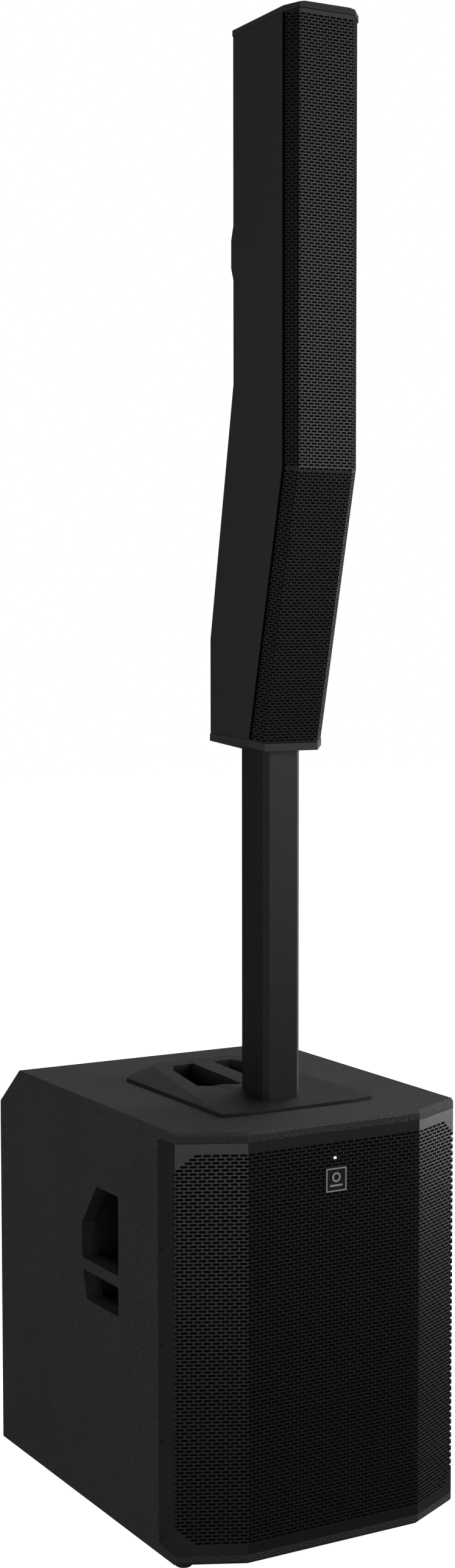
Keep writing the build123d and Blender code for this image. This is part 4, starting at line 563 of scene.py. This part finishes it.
def make_bass_cloth():
    """The cloth behind the bass grille, folded with it."""
    path = [(-HALF_WIDTH, CLOTH_END_Y)] + BASS_PATH[1:-1] + [(HALF_WIDTH, CLOTH_END_Y)]
    plan = set_back(path, CLOTH_BACK)
    levels = [CLOTH_LOW + CLOTH_STEP * i for i in range(CLOTH_STEPS)] + [CLOTH_HIGH]
    points = [Vector((x, y, z)) * MM for z in levels for x, y in plan]
    across = len(plan)
    faces = []
    for row in range(len(levels) - 1):
        for i in range(across - 1):
            corner = row * across + i
            faces.append((corner, corner + 1, corner + 1 + across, corner + across))
    mesh = bpy.data.meshes.new("bass_cloth")
    mesh.from_pydata(points, [], faces)
    piece = finished("bass_cloth", mesh, "cloth", "cabinet", ["grille_mesh"])
    thicken(piece, CLOTH_THICK)


make_bass_cloth()


# Badge mark, in millimetres: half sides, radii, and heights from the badge's middle.
MARK_MIDDLE = 520.5
MARK_THICK = 0.3
MARK_FRAME = (14.4, 16.2)
MARK_RING = (4.2, 6.8)
MARK_RING_UP = 3.4
MARK_BAR_HALF = 10.0
MARK_BAR = (-9.2, -6.6)
MARK_RING_STEPS = 40


def make_badge_mark():
    """A plain raised frame, ring and bar on the badge."""
    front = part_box("badge_plate")[0][1] / MM
    points = []
    faces = []

    def strip(inner, outer, closed=True):
        start = len(points)
        count = len(inner)
        for x, z in inner + outer:
            points.append(Vector((x, front - MARK_THICK, MARK_MIDDLE + z)) * MM)
        for i in range(count if closed else count - 1):
            j = (i + 1) % count
            faces.append((start + i, start + j, start + count + j, start + count + i))

    def square(half):
        return [(-half, -half), (half, -half), (half, half), (-half, half)]

    def circle(radius):
        turns = [math.radians(i * 360 / MARK_RING_STEPS) for i in range(MARK_RING_STEPS)]
        return [(radius * math.cos(a), MARK_RING_UP + radius * math.sin(a)) for a in turns]

    def level(height):
        return [(-MARK_BAR_HALF, height), (MARK_BAR_HALF, height)]

    strip(*[square(half) for half in MARK_FRAME])
    strip(*[circle(radius) for radius in MARK_RING])
    strip(*[level(height) for height in MARK_BAR], closed=False)
    mesh = bpy.data.meshes.new("badge_mark")
    mesh.from_pydata(points, [], faces)
    piece = finished("badge_mark", mesh, "badge_mark", "cabinet")
    thicken(piece, MARK_THICK)


make_badge_mark()

LED_RADIUS = 1.4
LED_PROUD = 0.4
LED_HEIGHT = 550.3
LED_LENGTH = 4.0
LED_RINGS = 6
LED_AROUND = 20


def make_led_lens():
    """A small domed lens in the slot above the badge, turned about its own axis."""
    profile = []
    for i in range(LED_RINGS + 1):
        angle = math.radians(90.0 * i / LED_RINGS)
        profile.append((LED_RADIUS * math.sin(angle), LED_RADIUS * (1 - math.cos(angle))))
    profile.append((LED_RADIUS, LED_LENGTH))
    points = []
    for radius, depth in profile:
        for j in range(LED_AROUND):
            turn = math.radians(360 * j / LED_AROUND)
            points.append(Vector((radius * math.cos(turn), FRONT_Y - LED_PROUD + depth,
                                  LED_HEIGHT + radius * math.sin(turn))) * MM)
    faces = []
    for i in range(len(profile) - 1):
        for j in range(LED_AROUND):
            a = i * LED_AROUND + j
            b = i * LED_AROUND + (j + 1) % LED_AROUND
            faces.append((a, b, b + LED_AROUND, a + LED_AROUND))
    faces.append(tuple(range(len(points) - LED_AROUND, len(points))))
    mesh = bpy.data.meshes.new("led_lens")
    mesh.from_pydata(points, [], faces)
    finished("led_lens", mesh, "led", "cabinet", ["power_led"])


make_led_lens()

# Array grille, in millimetres.
ARRAY_FRONT = -275.0
ARRAY_HALF_FRONT = 42.3
ARRAY_CORNER = 13.6
ARRAY_FACET = math.hypot(ARRAY_CORNER, ARRAY_CORNER)
KINK = 1479.5
TILT = math.radians(13.6)
UPPER_ROWS, UPPER_FIRST, UPPER_PITCH = 146, 4.7, 4.0517
LOWER_ROWS, LOWER_FIRST, LOWER_PITCH = 93, 6.2, 4.037
TOP_EDGE = 2079.0
LOW_EDGE = 381.2
ARRAY_FACET_CELLS = 4
ARRAY_FRONT_CELLS = 18
ARRAY_SLOT = (7.7, 2.45)
ARRAY_SHEET = 1.2
TOP_SLOPE = 0.2
TOP_ROWS_END = UPPER_FIRST + (UPPER_ROWS - 0.5) * UPPER_PITCH


def array_columns():
    lines = [0.0]
    lines += lines_between(0.0, ARRAY_FACET, ARRAY_FACET_CELLS)
    lines += lines_between(lines[-1], lines[-1] + 2 * ARRAY_HALF_FRONT, ARRAY_FRONT_CELLS)
    lines += lines_between(lines[-1], lines[-1] + ARRAY_FACET, ARRAY_FACET_CELLS)
    return lines


ARRAY_PATH = [(-ARRAY_HALF_FRONT - ARRAY_CORNER, ARRAY_CORNER), (-ARRAY_HALF_FRONT, 0.0),
              (ARRAY_HALF_FRONT, 0.0), (ARRAY_HALF_FRONT + ARRAY_CORNER, ARRAY_CORNER)]


def array_point(x, back, t):
    """t is height over the kink above it, and minus the distance down the tilted part below it."""
    if abs(t) < NEAR:
        return x, ARRAY_FRONT + back, KINK + back * math.tan(TILT / 2)
    if t > 0:
        over = max(0.0, t - TOP_ROWS_END) / (TOP_EDGE - KINK - TOP_ROWS_END)
        return x, ARRAY_FRONT + back, KINK + t - over * back * TOP_SLOPE
    return (
        x,
        ARRAY_FRONT - t * math.sin(TILT) + back * math.cos(TILT),
        KINK + t * math.cos(TILT) + back * math.sin(TILT),
    )


def array_place(s, t):
    return array_point(*along_plan(ARRAY_PATH, s), t)


def array_rows():
    """Rows from the top down, with one row of slots on the kink itself."""
    upper_edge = UPPER_FIRST - UPPER_PITCH / 2
    lower_edge = LOWER_FIRST - LOWER_PITCH / 2
    rows = [(-lower_edge, 0.0, upper_edge)]
    for i in range(UPPER_ROWS):
        middle = UPPER_FIRST + i * UPPER_PITCH
        rows.append((middle - UPPER_PITCH / 2, middle, middle + UPPER_PITCH / 2))
    top = rows[-1][2]
    rows.append((top, (top + TOP_EDGE - KINK) / 2, TOP_EDGE - KINK))
    for i in range(LOWER_ROWS):
        middle = -LOWER_FIRST - i * LOWER_PITCH
        rows.append((middle - LOWER_PITCH / 2, middle, middle + LOWER_PITCH / 2))
    low = rows[-1][0]
    rows.append((-LOW_EDGE, (low - LOW_EDGE) / 2, low))
    return rows


def array_side(row, column):
    """Slots sit on every other line, but none at either end and none on the kink's slanted corners."""
    on_facet = not ARRAY_FACET_CELLS <= column < ARRAY_FACET_CELLS + ARRAY_FRONT_CELLS
    top_row = UPPER_ROWS + 1
    bottom_row = top_row + LOWER_ROWS + 1
    if row in (top_row, bottom_row) or (row == 0 and on_facet):
        return 0
    shift = row - top_row if row > top_row else row
    return 1 if (column + shift) % 2 == 0 else -1


def make_array_grille():
    sheet = SlottedSheet(array_place, *ARRAY_SLOT)
    sheet.fill(array_columns(), array_rows(), array_side)
    piece = finished("array_grille_sheet", sheet.mesh("array_grille_sheet"), "grille", "array",
                     ["array_grille"])
    thicken(piece, ARRAY_SHEET)


make_array_grille()

PANEL_Y = 292.0
PRINT_HEIGHT = 0.06
KNOB_ROW = 262.0
JACK_ROW = 208.0
COLUMN_RADII = {12.0: 15.0, 62.0: 11.5, 104.0: 11.5}     # knob columns and their scales' radii
SCALE_MARKS = 11
SCALE_START, SCALE_STEP = -60.0, 30.0                    # degrees
SCALE_MARK = (1.4, 0.3)                                  # half length, half width
JACK_TITLE = (6.0, 0.9)
JACK_NOTE = (3.5, 0.6)
TITLE_UP, NOTE_DOWN = 21.0, 20.0
INLET_TITLE = (-68.0, 156.0, 12.0, 0.9)


def make_panel_print():
    """Scale marks round the three knobs and short bars over the jacks on the rear panel."""
    points = []
    faces = []

    def mark(x, z, half_long, half_wide, turn=0.0):
        start = len(points)
        for u, v in ((-1, -1), (1, -1), (1, 1), (-1, 1)):
            a = u * half_long
            b = v * half_wide
            points.append(Vector((
                x + a * math.cos(turn) - b * math.sin(turn),
                PANEL_Y + PRINT_HEIGHT,
                z + a * math.sin(turn) + b * math.cos(turn),
            )) * MM)
        faces.append((start + 3, start + 2, start + 1, start))

    for x, radius in COLUMN_RADII.items():
        for i in range(SCALE_MARKS):
            turn = math.radians(SCALE_START + SCALE_STEP * i)
            mark(x + radius * math.cos(turn), KNOB_ROW + radius * math.sin(turn), *SCALE_MARK, turn)
    for x in COLUMN_RADII:
        mark(x, JACK_ROW + TITLE_UP, *JACK_TITLE)
        mark(x, JACK_ROW - NOTE_DOWN, *JACK_NOTE)
    mark(*INLET_TITLE)
    mesh = bpy.data.meshes.new("panel_print")
    mesh.from_pydata(points, [], faces)
    finished("panel_print", mesh, "print", "cabinet")


make_panel_print()

STRIP_X = (54.9, 58.2)
STRIP_BACK = 16.4
STRIP_TOP, STRIP_FOOT = 594.0, -378.0
STRIP_UPPER_STEPS = 24
STRIP_LOWER_STEPS = 16
STRIP_THICK = 0.8


def make_gap_shade_strips():
    """Painted shade: near-black strips down both sides in the gap between the array's shell and its grille.
    """
    levels = [STRIP_TOP * (1 - i / STRIP_UPPER_STEPS) for i in range(STRIP_UPPER_STEPS + 1)]
    levels += lines_between(0.0, STRIP_FOOT, STRIP_LOWER_STEPS)
    points = []
    faces = []
    for side in (-1, 1):
        start = len(points)
        for t in levels:
            points += [Vector(array_point(side * x, STRIP_BACK, t)) * MM for x in STRIP_X]
        for i in range(len(levels) - 1):
            a = start + 2 * i
            faces.append((a, a + 1, a + 3, a + 2)[::-side])
    mesh = bpy.data.meshes.new("array_gap_shade_strips")
    mesh.from_pydata(points, [], faces)
    # These strips are painted shade in the gap, not a real part.
    piece = finished("array_gap_shade_strips", mesh, "foam_and_shade", "array")
    thicken(piece, STRIP_THICK)


make_gap_shade_strips()


# ---------------------------------------------------------------- floor, world and lights
FLOOR_HALF = 14.0
FLOOR_GLOW = 0.96
ROOM_STRENGTH = 0.072
WHITE = (1.0, 1.0, 1.0, 1.0)


def make_floor():
    """White paper the object stands on, left out of its reflections."""
    mesh = bpy.data.meshes.new("floor")
    corners = [(-1, -1), (1, -1), (1, 1), (-1, 1)]
    mesh.from_pydata([(x * FLOOR_HALF, y * FLOOR_HALF, 0) for x, y in corners], [], [(0, 1, 2, 3)])
    floor = bpy.data.objects.new("floor", mesh)
    bpy.context.scene.collection.objects.link(floor)
    s = Shader("floor_paper")
    soft = s.noise(3.0)
    s.join(s.tint(soft, grey(0.86), grey(0.88)), s.main.inputs["Base Color"])
    s.set(Roughness=0.9, Specular_IOR_Level=0.1, Emission_Color=WHITE, Emission_Strength=FLOOR_GLOW)
    mesh.materials.append(s.material)
    floor.visible_glossy = False
    floor.visible_diffuse = False


def make_world():
    """White behind the object; a dim soft room for what it reflects."""
    world = bpy.data.worlds.new("studio")
    bpy.context.scene.world = world
    world.use_nodes = True
    tree = world.node_tree
    out = tree.nodes["World Output"]
    room = tree.nodes["Background"]
    room.inputs["Color"].default_value = WHITE
    room.inputs["Strength"].default_value = ROOM_STRENGTH
    seen = tree.nodes.new("ShaderNodeBackground")
    seen.inputs["Color"].default_value = WHITE
    seen.inputs["Strength"].default_value = 1.0
    path = tree.nodes.new("ShaderNodeLightPath")
    mix = tree.nodes.new("ShaderNodeMixShader")
    tree.links.new(path.outputs["Is Camera Ray"], mix.inputs[0])
    tree.links.new(room.outputs[0], mix.inputs[1])
    tree.links.new(seen.outputs[0], mix.inputs[2])
    tree.links.new(mix.outputs[0], out.inputs["Surface"])


def softbox(name, at, towards, width, height, watts):
    data = bpy.data.lights.new(name, "AREA")
    data.shape = "RECTANGLE"
    data.size = width
    data.size_y = height
    data.energy = watts
    light = bpy.data.objects.new(name, data)
    light.location = at
    light.rotation_euler = (Vector(towards) - Vector(at)).to_track_quat("-Z", "Y").to_euler()
    light.visible_camera = False
    bpy.context.scene.collection.objects.link(light)


make_floor()
make_world()

# Where each stands, what it points at, its width and height in metres, and its watts.
SOFTBOXES = {
    "key_front_right": ((1.7, -3.0, 1.85), (0.0, -0.2, 1.2), 1.2, 2.0, 25.0),
    "right_side": ((2.4, -0.35, 0.8), (0.2, -0.28, 0.5), 1.0, 1.1, 36.0),
    "low_left_front": ((-1.3, -2.9, 0.35), (-0.15, -0.3, 0.4), 1.4, 0.6, 12.0),
    "left_side": ((-3.4, 0.2, 1.4), (0.0, 0.0, 0.9), 1.6, 2.6, 38.0),
    "top": ((1.2, 0.4, 3.4), (0.0, 0.0, 0.6), 1.8, 1.8, 50.0),
    "back": ((0.8, 3.2, 2.2), (0.0, 0.0, 0.9), 2.0, 2.4, 2.0),
}
for box_name, box_values in SOFTBOXES.items():
    softbox(box_name, *box_values)

bpy.context.scene.view_settings.view_transform = "Standard"
